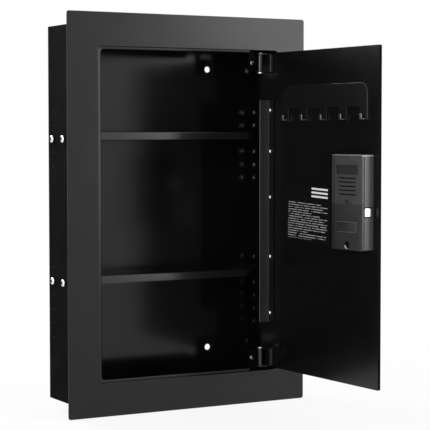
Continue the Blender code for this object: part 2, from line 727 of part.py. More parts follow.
def build_hinge_pin(shop, name, level, sign):
    """Headed pin through the door's two ears and the bracket's knuckle."""
    half = HINGE_HALF_HEIGHT
    head_seat = half + SEAM
    profile = [
        (0.0, half + PIN_TIP),
        (PIN_RADIUS, half + PIN_TIP),
        (PIN_RADIUS, -head_seat),
        (PIN_HEAD_RADIUS, -head_seat),
        (PIN_HEAD_RADIUS, -head_seat - PIN_HEAD_HEIGHT),
        (0.0, -head_seat - PIN_HEAD_HEIGHT),
    ]
    turn = UPRIGHT if sign > 0 else (math.pi, 0.0, 0.0)
    pin = turned(profile, (PIVOT_SIDE, FRONT + PIVOT_DEPTH, level), turn)
    shop.add(pin, f"{name}_hinge_pin", "zinc", smooth=True)


def build_hinge_leaf(shop, name, level, door):
    """Channel leaf on the door: a base on the inner face and two ears round the pin."""
    base_y = door_y(SEAM)
    half = HINGE_HALF_HEIGHT
    base = box((-LEAF_REACH, base_y, level - half), (LEAF_TAIL, base_y + HINGE_SHEET, level + half))
    ear = [(EAR_RADIUS, base_y), (EAR_RADIUS, 0.0)]
    ear += arc((0.0, 0.0), EAR_RADIUS, 0, 180, 8)[1:-1]
    ear += [(-EAR_RADIUS, 0.0), (-EAR_RADIUS, base_y)]
    hole = circle((0.0, 0.0), PIN_RADIUS + PIN_GAP, ROUND_SIDES)
    ears = []
    for place in (level + half - HINGE_SHEET / 2, level - half + HINGE_SHEET / 2):
        ears.append(sheet([ear, hole], HINGE_SHEET, (0.0, 0.0, place), LAY_XY))
    shop.add(build_on(shop, base, joins=ears), f"{name}_hinge_leaf", "black_paint", door, smooth=True)


def build_door_panel(shop, door):
    """The flat door with holes for the key cylinder and the screws."""
    left = DOOR_FREE_EDGE
    outline = rounded_rectangle(left, -DOOR_HEIGHT / 2, left + DOOR_WIDTH, DOOR_HEIGHT / 2,
                                DOOR_CORNER_RADIUS)
    holes = [circle((door_x(CASE_CENTRE), KEY_LEVEL), KEY_PLUG_RADIUS + SLIDING_GAP, ROUND_SIDES)]
    place = (0.0, (DOOR_OUTER_FACE + DOOR_INNER_FACE) / 2, 0.0)
    panel = sheet([outline] + holes, DOOR_THICKNESS, place, LAY_XZ)
    blind = []
    for level in bar_screw_levels():
        start = (door_x(bar_screw_distance()), door_y(-BAR_SCREW_BITE - SEAM), level)
        blind.append(rod(start, BAR_SCREW_BITE + CUT_OVERRUN, BAR_SCREW_SHANK_RADIUS + FASTENER_GAP,
                         TURN_TO_Y, SMALL_ROUND_SIDES))
    start = (door_x(CASE_CENTRE), door_y(-CASE_SCREW_BITE - SEAM), CASE_SCREW_LEVEL)
    blind.append(rod(start, CASE_SCREW_BITE + CUT_OVERRUN, CASE_SCREW_SHANK_RADIUS + FASTENER_GAP,
                     TURN_TO_Y, SMALL_ROUND_SIDES))
    shop.add(build_on(shop, panel, cuts=blind), "door_panel", "black_paint", door)


def bar_screw_distance():
    """Distance of the bar's screws from the door's free edge."""
    return BAR_EDGE_DISTANCE - BAR_SCREW_INSET


def bar_screw_levels():
    """Heights of the bar's screws, from the top one down."""
    return [BAR_BOTTOM + share * (BAR_TOP - BAR_BOTTOM) for share in BAR_SCREW_SHARES]


def build_bar(shop, door):
    """Angle bar along the hinge side, which hooks behind the frame when the door is shut."""
    corner = door_x(BAR_EDGE_DISTANCE)
    base = door_y(SEAM)
    foot = box((corner - BAR_FOOT, base, BAR_BOTTOM), (corner + BAR_SHEET, base + BAR_SHEET, BAR_TOP))
    wall = box((corner, base, BAR_BOTTOM), (corner + BAR_SHEET, door_y(BAR_HEIGHT), BAR_TOP))
    holes = []
    for level in bar_screw_levels():
        start = (door_x(bar_screw_distance()), base - CUT_OVERRUN, level)
        holes.append(rod(start, BAR_SHEET + 2 * CUT_OVERRUN, BAR_SCREW_SHANK_RADIUS + FASTENER_GAP,
                         TURN_TO_Y, SMALL_ROUND_SIDES))
    shop.add(build_on(shop, foot, joins=[wall], cuts=holes), "anti_pry_bar", "black_paint", door)
    seat = base + BAR_SHEET + FASTENER_GAP
    length = FASTENER_GAP + BAR_SHEET + SEAM + BAR_SCREW_BITE
    profile = pan_screw(BAR_SCREW_HEAD_RADIUS, BAR_SCREW_HEAD_HEIGHT, BAR_SCREW_SHANK_RADIUS, length)
    for number, level in enumerate(bar_screw_levels(), start=1):
        screw = turned(profile, (door_x(bar_screw_distance()), seat, level), TURN_TO_Y, SMALL_ROUND_SIDES)
        shop.add(screw, f"bar_screw_{number}", "chrome", door, smooth=True)


def rack_outline():
    """Comb outline: a bar with round upper corners and teeth along its lower edge."""
    left = door_x(RACK_EDGE_DISTANCE)
    right = left + RACK_LENGTH
    radius = RACK_CORNER_RADIUS
    points = arc((right - radius, RACK_TOP - radius), radius, 0, 90)
    points += arc((left + radius, RACK_TOP - radius), radius, 90, 180)
    step = (RACK_LENGTH - RACK_TOOTH_WIDTH) / (RACK_TOOTH_COUNT - 1)
    notch_top = RACK_TOP - RACK_BAR_HEIGHT
    foot = RACK_TOP - RACK_HEIGHT + RACK_SHEET / 2
    for tooth in range(RACK_TOOTH_COUNT):
        start = left + tooth * step
        end = start + RACK_TOOTH_WIDTH
        points += [(start, foot), (end, foot)]
        if tooth < RACK_TOOTH_COUNT - 1:
            points += arc((end + RACK_FILLET, notch_top - RACK_FILLET), RACK_FILLET, 180, 90, 2)
            points += arc((start + step - RACK_FILLET, notch_top - RACK_FILLET), RACK_FILLET, 90, 0, 2)
    return points


def build_rack(shop, door):
    """Key rack: one comb of sheet whose teeth end in turned-up hooks."""
    base = door_y(SEAM)
    comb = sheet([rack_outline()], RACK_SHEET, (0.0, base + RACK_SHEET / 2, 0.0), LAY_XZ)
    step = (RACK_LENGTH - RACK_TOOTH_WIDTH) / (RACK_TOOTH_COUNT - 1)
    foot = RACK_TOP - RACK_HEIGHT
    near = base + RACK_SHEET
    far = near + HOOK_GAP + RACK_SHEET
    root = base + RACK_SHEET / 3
    outline = [(root, foot), (far, foot), (far, foot + HOOK_RISE), (near + HOOK_GAP, foot + HOOK_RISE),
               (near + HOOK_GAP, foot + RACK_SHEET), (root, foot + RACK_SHEET)]
    hooks = []
    for tooth in range(RACK_TOOTH_COUNT):
        centre = door_x(RACK_EDGE_DISTANCE) + RACK_TOOTH_WIDTH / 2 + tooth * step
        hooks.append(sheet([outline], HOOK_WIDTH, (centre, 0.0, 0.0), LAY_YZ))
    shop.add(build_on(shop, comb, joins=hooks), "key_rack", "black_paint", door)


def build_label(shop, door):
    """A plain film label."""
    left = door_x(LABEL_EDGE_DISTANCE)
    low = LABEL_LEVEL - LABEL_HEIGHT / 2
    outline = rounded_rectangle(left, low, left + LABEL_WIDTH, low + LABEL_HEIGHT, LABEL_CORNER_RADIUS)
    place = (0.0, door_y(SEAM + LABEL_THICKNESS / 2), 0.0)
    shop.add(sheet([outline], LABEL_THICKNESS, place, LAY_XZ), "plain_label", "label_film", door)


def case_box(inset, low_height, high_height, low_level=None, high_level=None):
    """A box inside the lock case's outline, drawn in by an inset at its sides."""
    left = door_x(CASE_EDGE_DISTANCE) + inset
    right = door_x(CASE_EDGE_DISTANCE + CASE_WIDTH) - inset
    bottom = CASE_BOTTOM + inset if low_level is None else low_level
    top = CASE_BOTTOM + CASE_HEIGHT - inset if high_level is None else high_level
    return box((left, door_y(low_height), bottom), (right, door_y(high_height), top))


def build_lock_case(shop, door):
    """Lock case: a shell open towards the door, with a battery bay in its upper half."""
    left = door_x(CASE_EDGE_DISTANCE)
    outline = rounded_rectangle(left, CASE_BOTTOM, left + CASE_WIDTH, CASE_BOTTOM + CASE_HEIGHT,
                                CASE_CORNER_RADIUS)
    depth = CASE_DEPTH - SEAM
    solid = sheet([outline], depth, (0.0, door_y(SEAM + depth / 2), 0.0), LAY_XZ)
    hollow = case_box(CASE_WALL, -CUT_OVERRUN, CASE_DEPTH - CASE_FACE)
    cover_seat = CASE_DEPTH - COVER_THICKNESS - SEAM
    over = CASE_BOTTOM + CASE_HEIGHT + CUT_OVERRUN
    rebate = case_box(-CUT_OVERRUN, cover_seat, CASE_DEPTH + CUT_OVERRUN, COVER_SPLIT_LEVEL - SEAM, over)
    bay = case_box(CASE_WALL, cover_seat - CUT_OVERRUN, CASE_DEPTH + CUT_OVERRUN,
                   COVER_SPLIT_LEVEL + CASE_WALL, over - CUT_OVERRUN - CASE_WALL)
    bolt_hole = box((left - CUT_OVERRUN, door_y(BOLT_BACKSET - SLIDING_GAP),
                     BOLT_LEVEL - BOLT_HEIGHT / 2 - SLIDING_GAP),
                    (left + CASE_WALL + CUT_OVERRUN, door_y(BOLT_BACKSET + BOLT_THICKNESS + SLIDING_GAP),
                     BOLT_LEVEL + BOLT_HEIGHT / 2 + SLIDING_GAP))
    centre = door_x(CASE_CENTRE)
    panel_half = CASE_PANEL_WIDTH / 2
    panel = box((centre - panel_half, door_y(CASE_DEPTH - CASE_FACE / 2), CASE_PANEL_LEVEL - CASE_PANEL_HEIGHT / 2),
                (centre + panel_half, door_y(CASE_DEPTH + CASE_PANEL_RISE), CASE_PANEL_LEVEL + CASE_PANEL_HEIGHT / 2))
    post = rod((centre, door_y(SEAM), CASE_SCREW_LEVEL), CASE_DEPTH - SEAM - CASE_FACE / 2,
               CASE_SCREW_WELL_RADIUS + CASE_SCREW_POST_WALL, TURN_TO_Y)
    well = rod((centre, door_y(CASE_SCREW_WELL_FLOOR), CASE_SCREW_LEVEL),
               CASE_DEPTH - CASE_SCREW_WELL_FLOOR + CUT_OVERRUN, CASE_SCREW_WELL_RADIUS, TURN_TO_Y)
    shank = rod((centre, door_y(-CUT_OVERRUN), CASE_SCREW_LEVEL), CASE_SCREW_WELL_FLOOR + 2 * CUT_OVERRUN,
                CASE_SCREW_SHANK_RADIUS + FASTENER_GAP, TURN_TO_Y, SMALL_ROUND_SIDES)
    shell = build_on(shop, solid, cuts=[hollow, rebate, bay, bolt_hole])
    shop.add(build_on(shop, shell, joins=[post, panel], cuts=[well, shank]), "lock_case", "black_plastic", door)
    seat = door_y(CASE_SCREW_WELL_FLOOR + FASTENER_GAP)
    length = FASTENER_GAP + CASE_SCREW_WELL_FLOOR + CASE_SCREW_BITE
    profile = pan_screw(CASE_SCREW_HEAD_RADIUS, CASE_SCREW_HEAD_HEIGHT, CASE_SCREW_SHANK_RADIUS, length)
    screw = turned(profile, (centre, seat, CASE_SCREW_LEVEL), TURN_TO_Y, SMALL_ROUND_SIDES)
    shop.add(screw, "lock_case_screw", "chrome", door, smooth=True)


def build_battery_cover(shop, door):
    """Sliding cover over the battery bay, with a recess and grip slots."""
    slide = shop.pivot("battery_cover_axis", (door_x(CASE_CENTRE), door_y(CASE_DEPTH), COVER_SPLIT_LEVEL),
                       parent=door)
    half = CASE_WIDTH / 2
    height = CASE_BOTTOM + CASE_HEIGHT - COVER_SPLIT_LEVEL
    outline = [(-half, 0.0), (half, 0.0)]
    outline += arc((half - CASE_CORNER_RADIUS, height - CASE_CORNER_RADIUS), CASE_CORNER_RADIUS, 0, 90)
    outline += arc((CASE_CORNER_RADIUS - half, height - CASE_CORNER_RADIUS), CASE_CORNER_RADIUS, 90, 180)
    plate = sheet([outline], COVER_THICKNESS, (0.0, -COVER_THICKNESS / 2, 0.0), LAY_XZ)
    recess_low = COVER_RECESS_LEVEL - COVER_SPLIT_LEVEL - COVER_RECESS_HEIGHT / 2
    cuts = [box((-COVER_RECESS_WIDTH / 2, -COVER_RECESS_DEPTH, recess_low),
                (COVER_RECESS_WIDTH / 2, CUT_OVERRUN, recess_low + COVER_RECESS_HEIGHT))]
    for slot in range(GRIP_SLOT_COUNT):
        middle = (GRIP_SLOT_COUNT - 1) / 2
        level = GRIP_SLOT_LEVEL - COVER_SPLIT_LEVEL + (slot - middle) * GRIP_SLOT_PITCH
        cuts.append(box((-GRIP_SLOT_WIDTH / 2, -GRIP_SLOT_DEPTH, level - GRIP_SLOT_HEIGHT / 2),
                        (GRIP_SLOT_WIDTH / 2, CUT_OVERRUN, level + GRIP_SLOT_HEIGHT / 2)))
    cuts.append(rod((0.0, -GRIP_SLOT_DEPTH, 0.0), GRIP_SLOT_DEPTH + CUT_OVERRUN, COVER_NOTCH_RADIUS, TURN_TO_Y))
    tongue_low = CASE_WALL + SLIDING_GAP
    tongue = box((-COVER_TONGUE_WIDTH / 2, -COVER_THICKNESS - COVER_TONGUE_THICKNESS, tongue_low),
                 (COVER_TONGUE_WIDTH / 2, -COVER_THICKNESS / 2, tongue_low + COVER_TONGUE_HEIGHT))
    solid = build_on(shop, plate, joins=[tongue], cuts=cuts)
    shop.add(solid, "battery_cover", "black_plastic", slide)


def build_latch_bolt(shop, door):
    """Latch bolt with the slide plate that the key's cam drives."""
    slide = shop.pivot("latch_bolt_axis", (door_x(CASE_EDGE_DISTANCE - BOLT_PROUD), door_y(0.0), BOLT_LEVEL),
                       parent=door)
    half = BOLT_HEIGHT / 2
    block = box((0.0, BOLT_BACKSET, -half), (BOLT_LENGTH, BOLT_BACKSET + BOLT_THICKNESS, half))
    soft = soften(block, SLIDING_GAP)
    pin_x = CASE_CENTRE - CASE_EDGE_DISTANCE + BOLT_PROUD + BOLT_CAM_OFFSET
    slot_half = CAM_PIN_RADIUS + CAM_PIN_CLEARANCE
    right = pin_x + slot_half + SLIDE_PLATE_MARGIN
    plate = box((BOLT_LENGTH - CUT_OVERRUN, SLIDE_PLATE_BACKSET, half - SLIDE_PLATE_DROP - BOLT_HEIGHT / 2),
                (right, SLIDE_PLATE_BACKSET + SLIDE_PLATE_THICKNESS, half))
    slot_top = KEY_LEVEL - BOLT_LEVEL + CAM_ARM + slot_half
    slot = box((pin_x - slot_half, SLIDE_PLATE_BACKSET - CUT_OVERRUN, -SLIDE_PLATE_DROP - CUT_OVERRUN),
               (pin_x + slot_half, SLIDE_PLATE_BACKSET + SLIDE_PLATE_THICKNESS + CUT_OVERRUN, slot_top))
    solid = build_on(shop, soft, joins=[plate], cuts=[slot])
    shop.add(solid, "latch_bolt", "chrome", slide)


def build_key_cylinder(shop, door):
    """Key cylinder through the door, with the cam that throws the bolt."""
    outer_face = DOOR_OUTER_FACE - SEAM - KEYPAD_DEPTH
    axis = shop.pivot("key_cylinder_axis", (door_x(CASE_CENTRE), 0.0, KEY_LEVEL), parent=door)
    cam_y = door_y(CAM_BACKSET)
    collar_back = outer_face - SLIDING_GAP
    collar = rod((0.0, collar_back - KEY_COLLAR_HEIGHT, 0.0), KEY_COLLAR_HEIGHT, KEY_COLLAR_RADIUS, TURN_TO_Y)
    plug = rod((0.0, collar_back - KEY_COLLAR_HEIGHT / 2, 0.0), cam_y - collar_back + KEY_COLLAR_HEIGHT / 2,
               KEY_PLUG_RADIUS, TURN_TO_Y)
    angle = 90.0 - KEY_TURN_DEGREES / 2
    along = Vector((math.cos(math.radians(angle)), math.sin(math.radians(angle))))
    across = Vector((-along.y, along.x)) * (CAM_WIDTH / 2)
    tip = along * CAM_ARM
    outline = [tuple(-across), tuple(tip - across)]
    outline += arc(tip, CAM_WIDTH / 2, angle - 90, angle + 90)[1:-1]
    outline += [tuple(tip + across), tuple(across)]
    arm = sheet([outline], CAM_THICKNESS, (0.0, cam_y + CAM_THICKNESS / 2 - SEAM, 0.0), LAY_XZ)
    hub = rod((0.0, cam_y - SEAM, 0.0), CAM_THICKNESS, KEY_PLUG_RADIUS, TURN_TO_Y)
    pin = rod((tip.x, cam_y, tip.y), CAM_PIN_LENGTH + CAM_THICKNESS / 2, CAM_PIN_RADIUS, TURN_TO_Y,
              SMALL_ROUND_SIDES)
    slot_front = collar_back - KEY_COLLAR_HEIGHT
    keyway = box((-KEY_SLOT_WIDTH / 2, slot_front - CUT_OVERRUN, -KEY_SLOT_LENGTH / 2),
                 (KEY_SLOT_WIDTH / 2, slot_front + KEY_SLOT_DEPTH, KEY_SLOT_LENGTH / 2))
    solid = build_on(shop, plug, joins=[collar, hub, arm, pin], cuts=[keyway])
    shop.add(solid, "key_cylinder", "chrome", axis, smooth=True)


def build_motor_and_board(shop, door):
    """Lock motor and circuit board, both laid on the door inside the lock case."""
    start = (door_x(MOTOR_EDGE_DISTANCE), door_y(SEAM + MOTOR_RADIUS), MOTOR_LEVEL)
    body = rod(start, MOTOR_LENGTH, MOTOR_RADIUS, TURN_TO_X)
    shaft = rod((start[0] - MOTOR_SHAFT_LENGTH, start[1], start[2]), MOTOR_SHAFT_LENGTH + CUT_OVERRUN,
                MOTOR_SHAFT_RADIUS, TURN_TO_X, SMALL_ROUND_SIDES)
    shop.add(build_on(shop, body, joins=[shaft]), "lock_motor", "zinc", door, smooth=True)
    left = door_x(BOARD_EDGE_DISTANCE)
    base = door_y(SEAM)
    low = BOARD_LEVEL - BOARD_HEIGHT / 2
    plate = box((left, base, low), (left + BOARD_WIDTH, base + BOARD_THICKNESS, low + BOARD_HEIGHT))
    middle = left + BOARD_WIDTH / 2
    chip = box((middle - CHIP_WIDTH / 2, base + BOARD_THICKNESS / 2, BOARD_LEVEL - CHIP_HEIGHT / 2),
               (middle + CHIP_WIDTH / 2, base + BOARD_THICKNESS + CHIP_RISE, BOARD_LEVEL + CHIP_HEIGHT / 2))
    shop.add(build_on(shop, plate, joins=[chip]), "circuit_board", "board", door)


def build_batteries(shop, door):
    """Round cells side by side in the battery bay, their ends turned by turns."""
    half = CELL_LENGTH / 2
    profile = [
        (0.0, half),
        (CELL_TERMINAL_RADIUS, half),
        (CELL_TERMINAL_RADIUS, half - CELL_TERMINAL_LENGTH),
        (CELL_RADIUS, half - CELL_TERMINAL_LENGTH),
        (CELL_RADIUS, -half),
        (0.0, -half),
    ]
    for number in range(CELL_COUNT):
        level = CELL_FIRST_LEVEL + number * CELL_PITCH
        turn = TURN_TO_X if number % 2 == 0 else TURN_TO_MINUS_X
        cell = turned(profile, (door_x(CASE_CENTRE), door_y(SEAM + CELL_RADIUS), level), turn)
        shop.add(cell, f"battery_{number + 1}", "cell_wrap", door, smooth=True)


def button_places():
    """Name and centre of each keypad button."""
    places = []
    for row, names in enumerate(BUTTON_NAMES):
        for column, name in enumerate(names):
            x = door_x(CASE_CENTRE) + (column - 1) * BUTTON_COLUMN_PITCH
            places.append((f"button_{name}", x, BUTTON_TOP_LEVEL - row * BUTTON_ROW_PITCH))
    return places


def build_keypad(shop, door):
    """Keypad housing on the outer face, with a pocket for each button."""
    centre = door_x(CASE_CENTRE)
    half = KEYPAD_WIDTH / 2
    outline = rounded_rectangle(centre - half, KEYPAD_LEVEL - KEYPAD_HEIGHT / 2, centre + half,
                                KEYPAD_LEVEL + KEYPAD_HEIGHT / 2, KEYPAD_CORNER_RADIUS)
    back = DOOR_OUTER_FACE - SEAM
    front = back - KEYPAD_DEPTH
    solid = sheet([outline], KEYPAD_DEPTH, (0.0, (front + back) / 2, 0.0), LAY_XZ)
    cuts = []
    for _, x, level in button_places():
        w = BUTTON_WIDTH / 2 + BUTTON_GAP
        h = BUTTON_HEIGHT / 2 + BUTTON_GAP
        pocket = rounded_rectangle(x - w, level - h, x + w, level + h, BUTTON_CORNER_RADIUS)
        deep = KEY_POCKET_DEPTH + CUT_OVERRUN
        cuts.append(sheet([pocket], deep, (0.0, front + KEY_POCKET_DEPTH - deep / 2, 0.0), LAY_XZ))
    cuts.append(box((centre - DISPLAY_WIDTH / 2, front - CUT_OVERRUN, DISPLAY_LEVEL - DISPLAY_HEIGHT / 2),
                    (centre + DISPLAY_WIDTH / 2, front + DISPLAY_DEPTH, DISPLAY_LEVEL + DISPLAY_HEIGHT / 2)))
    cuts.append(rod((centre, front - CUT_OVERRUN, KEY_LEVEL), KEYPAD_DEPTH + 2 * CUT_OVERRUN,
                    KEY_PLUG_RADIUS + SLIDING_GAP, TURN_TO_Y))
    shop.add(build_on(shop, solid, cuts=cuts), "keypad_housing", "black_plastic", door)


def build_buttons(shop, door):
    """Twelve keypad buttons, each sliding in its pocket."""
    front = DOOR_OUTER_FACE - SEAM - KEYPAD_DEPTH
    floor = front + KEY_POCKET_DEPTH
    back = floor - BUTTON_FLOOR_GAP
    outline = rounded_rectangle(-BUTTON_WIDTH / 2, -BUTTON_HEIGHT / 2, BUTTON_WIDTH / 2, BUTTON_HEIGHT / 2,
                                BUTTON_CORNER_RADIUS)
    for name, x, level in button_places():
        slide = shop.pivot(f"{name}_axis", (x, back, level), parent=door)
        cap = to_mesh(sheet([outline], BUTTON_DEPTH, (0.0, -BUTTON_DEPTH / 2, 0.0), LAY_XZ))
        shop.add(cap, name, "key_rubber", slide)


def build_door(shop):
    """Everything that swings with the door, hung from the hinge axis."""
    turn = (0.0, 0.0, math.radians(DOOR_OPEN_DEGREES))
    door = shop.pivot("door_axis", (PIVOT_SIDE, FRONT + PIVOT_DEPTH, 0.0), turn)
    build_door_panel(shop, door)
    build_bar(shop, door)
    for name, level in (("upper", UPPER_HINGE_LEVEL), ("lower", LOWER_HINGE_LEVEL)):
        build_hinge_leaf(shop, name, level, door)
    build_rack(shop, door)
    build_label(shop, door)
    build_lock_case(shop, door)
    build_battery_cover(shop, door)
    build_latch_bolt(shop, door)
    build_key_cylinder(shop, door)
    build_motor_and_board(shop, door)
    build_batteries(shop, door)
    build_keypad(shop, door)
    build_buttons(shop, door)


def main():
    """Build the safe."""
    clear_scene()
    shop = Shop()
    build_casing(shop)
    build_frame(shop)
    build_door_stop(shop)
    build_shelf(shop, "upper_shelf", UPPER_HOLE_LEVEL)
    build_shelf(shop, "lower_shelf", LOWER_HOLE_LEVEL)
    build_shelf_screws(shop)
    for name, level, sign in (("upper", UPPER_HINGE_LEVEL, 1), ("lower", LOWER_HINGE_LEVEL, -1)):
        build_hinge_bracket(shop, name, level, sign)
        build_hinge_pin(shop, name, level, sign)
    build_door(shop)


main()
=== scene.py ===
"""Looks of the wall safe: sheet steel in black powder coat, its door standing open.

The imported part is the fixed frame. Each sub-assembly below is a class that holds its
sizes, builds its meshes and gives them their finishes. Lengths are in metres. The
origin is the centre of the casing's back face, with Y into the wall and Z up. The
door's pieces are drawn shut, with the hinge line at the origin, and DOOR_PLACE swings
them open to their place.
"""

from __future__ import annotations

import logging
import math
from collections.abc import Callable, Iterable, Sequence
from dataclasses import dataclass, field
from enum import Enum

import bmesh
import bpy
from bmesh.types import BMEdge, BMesh, BMVert
from bpy.types import Curve, Material, NodeTree, Object
from mathutils import Matrix, Vector


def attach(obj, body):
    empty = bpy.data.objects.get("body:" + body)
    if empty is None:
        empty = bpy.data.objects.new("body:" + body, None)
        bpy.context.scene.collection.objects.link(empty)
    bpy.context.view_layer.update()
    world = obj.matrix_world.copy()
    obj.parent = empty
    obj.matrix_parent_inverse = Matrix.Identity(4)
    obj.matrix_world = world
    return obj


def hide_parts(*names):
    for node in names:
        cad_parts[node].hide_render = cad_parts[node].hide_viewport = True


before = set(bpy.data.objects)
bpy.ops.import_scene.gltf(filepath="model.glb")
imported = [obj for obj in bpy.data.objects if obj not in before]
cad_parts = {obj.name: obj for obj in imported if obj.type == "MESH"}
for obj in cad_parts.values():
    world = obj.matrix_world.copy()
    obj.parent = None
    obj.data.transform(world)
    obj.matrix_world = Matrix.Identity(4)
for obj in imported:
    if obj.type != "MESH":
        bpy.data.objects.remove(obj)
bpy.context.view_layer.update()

log = logging.getLogger("wall_safe")

Point = tuple[float, float, float]
Corner = tuple[float, float]
Socket = bpy.types.NodeSocket
Test = Callable[[Vector, Vector], bool]

# The casing: the frame's front face, and the shelf holes' columns behind it and levels.
FRONT = -0.102
HOLE_COLUMNS = (0.049, 0.0857)
SHELF_LEVELS = (0.1055, -0.0955)

# The hinge line, and the door's swing from shut to its place.
PIVOT: Point = (0.125, -0.086, 0.0)
OPEN_ANGLE = 92.5
DOOR_PLACE = Matrix.Translation(PIVOT) @ Matrix.Rotation(math.radians(OPEN_ANGLE), 4, "Z")
TO_DOOR = DOOR_PLACE.inverted()

# The door as it is drawn, shut: its edge, its faces, and the key's place in it.
FREE_EDGE = -0.268
INNER_FACE = -0.012
OUTER_FACE = -0.016
KEY_PLACE: Corner = (-0.22185, -0.0140)

# Gap between two pieces, distance at which corners merge, and a cutter's overrun.
SEAM = 0.0003
MERGE = 0.000002
PAST = 0.01

# Faces flatter than the first angle are one face, edges past the second stay sharp,
# and edges past the third are the corners of a sheet.
FLAT = math.radians(0.5)
SHARP = math.radians(32.0)
SQUARE = math.radians(60.0)


class Body(str, Enum):
    """Moving and standing bodies that pieces ride on."""

    CASING = "casing"
    DOOR = "door"
    COVER = "battery_cover"
    BOLT = "latch_bolt"
    KEY = "key_cylinder"


class Plane(Enum):
    """Plane of a flat outline; the value holds its two axes and its thickness axis."""

    XZ = (0, 2, 1)
    YZ = (1, 2, 0)
    XY = (0, 1, 2)

    def point(self, across: float, up: float, depth: float) -> Vector:
        """A point of space from its place in the plane.

        Args:
            across: place along the plane's first axis.
            up: place along its second axis.
            depth: place along the thickness axis.

        Returns:
            The point.
        """
        place = Vector((0.0, 0.0, 0.0))
        for axis, value in zip(self.value, (across, up, depth)):
            place[axis] = value
        return place


class Sum(str, Enum):
    """Sums that an arithmetic node does."""

    TIMES = "MULTIPLY"
    BELOW = "LESS_THAN"
    ABOVE = "GREATER_THAN"
    WHOLE = "FLOOR"
    REST = "FRACT"
    LARGER = "MAXIMUM"


# ---- Finishes


def reckoned(tree: NodeTree, kind: Sum, first: Socket, second: Socket | float = 0.0) -> Socket:
    """One sum in a node tree.

    Args:
        tree: tree that the sum is added to.
        kind: the sum.
        first: its first number.
        second: its second number, from a socket or as it stands.

    Returns:
        The result's socket.
    """
    node = tree.nodes.new("ShaderNodeMath")
    node.operation = kind.value
    tree.links.new(first, node.inputs[0])
    if isinstance(second, float):
        node.inputs[1].default_value = second
    else:
        tree.links.new(second, node.inputs[1])
    return node.outputs[0]


def overlap(tree: NodeTree, mask: Socket, *others: Socket) -> Socket:
    """One where every mask is one, or else zero.

    Args:
        tree: tree that holds the masks.
        mask: first mask.
        others: the other masks.

    Returns:
        The result's socket.
    """
    for other in others:
        mask = reckoned(tree, Sum.TIMES, mask, other)
    return mask


def within(tree: NodeTree, value: Socket, limits: Corner) -> Socket:
    """One where a value is between two limits, or else zero."""
    low, high = limits
    return overlap(tree, reckoned(tree, Sum.ABOVE, value, low), reckoned(tree, Sum.BELOW, value, high))


class Recipe:
    """A material's node tree while it is put together."""

    def __init__(self, name: str) -> None:
        """Start with a Principled shader and the object's own coordinates.

        Args:
            name: the material's name.
        """
        self.material = bpy.data.materials.new(name)
        self.material.use_nodes = True
        self.tree = self.material.node_tree
        self.shader = self.tree.nodes["Principled BSDF"]
        self.coords = self.tree.nodes.new("ShaderNodeTexCoord")

    def plain(self, **values: float | tuple) -> None:
        """Set the shader's own sockets, named with underscores for spaces."""
        for name, value in values.items():
            self.shader.inputs[name.replace("_", " ")].default_value = value

    def link(self, source: Socket, target: Socket) -> None:
        """Join two sockets."""
        self.tree.links.new(source, target)

    def noise(self, scale: float, detail: float = 3.0, stretch: Point = (1.0, 1.0, 1.0)) -> Socket:
        """Noise on the object's coordinates.

        Args:
            scale: features in each metre.
            detail: octaves.
            stretch: scale along each axis, small along the direction of a grain.

        Returns:
            The noise's value socket.
        """
        mapping = self.tree.nodes.new("ShaderNodeMapping")
        mapping.inputs["Scale"].default_value = stretch
        self.link(self.coords.outputs["Object"], mapping.inputs["Vector"])
        texture = self.tree.nodes.new("ShaderNodeTexNoise")
        texture.inputs["Scale"].default_value = scale
        texture.inputs["Detail"].default_value = detail
        self.link(mapping.outputs["Vector"], texture.inputs["Vector"])
        return texture.outputs["Fac"]

    def chance(self, dimensions: str, source: Socket, target: str) -> Socket:
        """A chance value for each whole number.

        Args:
            dimensions: the white noise's dimensions.
            source: the whole number, or two of them as a vector.
            target: name of the input that takes it.

        Returns:
            The value's socket.
        """
        node = self.tree.nodes.new("ShaderNodeTexWhiteNoise")
        node.noise_dimensions = dimensions
        self.link(source, node.inputs[target])
        return node.outputs["Value"]

    def spread(self, value: Socket, low: float, high: float, start: float = 0.3,
               end: float = 0.7) -> Socket:
        """Map a value from one range to another.

        Args:
            value: socket that is mapped.
            low: result at the start.
            high: result at the end.
            start: lower end of the value's range.
            end: upper end of the value's range.

        Returns:
            The mapped socket.
        """
        spread = self.tree.nodes.new("ShaderNodeMapRange")
        spread.inputs["From Min"].default_value = start
        spread.inputs["From Max"].default_value = end
        spread.inputs["To Min"].default_value = low
        spread.inputs["To Max"].default_value = high
        self.link(value, spread.inputs["Value"])
        return spread.outputs["Result"]

    def blend(self, factor: Socket, first: Socket | Point, second: Point) -> Socket:
        """Mix two colours.

        Args:
            factor: share of the second colour.
            first: first colour, from a socket or as it stands.
            second: second colour.

        Returns:
            The mixed colour's socket.
        """
        mix = self.tree.nodes.new("ShaderNodeMix")
        mix.data_type = "RGBA"
        if isinstance(first, tuple):
            mix.inputs["A"].default_value = (*first, 1.0)
        else:
            self.link(first, mix.inputs["A"])
        mix.inputs["B"].default_value = (*second, 1.0)
        self.link(factor, mix.inputs["Factor"])
        return mix.outputs["Result"]

    def relief(self, height: Socket, depth: float, under: Socket | None = None) -> Socket:
        """Bump from a height.

        Args:
            height: height socket, from zero to one.
            depth: depth of the relief in metres.
            under: normal socket of a relief below this one.

        Returns:
            The normal's socket.
        """
        bump = self.tree.nodes.new("ShaderNodeBump")
        bump.inputs["Distance"].default_value = depth
        self.link(height, bump.inputs["Height"])
        if under is not None:
            self.link(under, bump.inputs["Normal"])
        return bump.outputs["Normal"]

    def paint(self, socket: Socket, name: str) -> None:
        """Feed one of the shader's inputs."""
        self.link(socket, self.shader.inputs[name])


def tint(colour: Point, share: float) -> Point:
    """A colour made lighter or darker by a share of itself."""
    return (colour[0] * share, colour[1] * share, colour[2] * share)


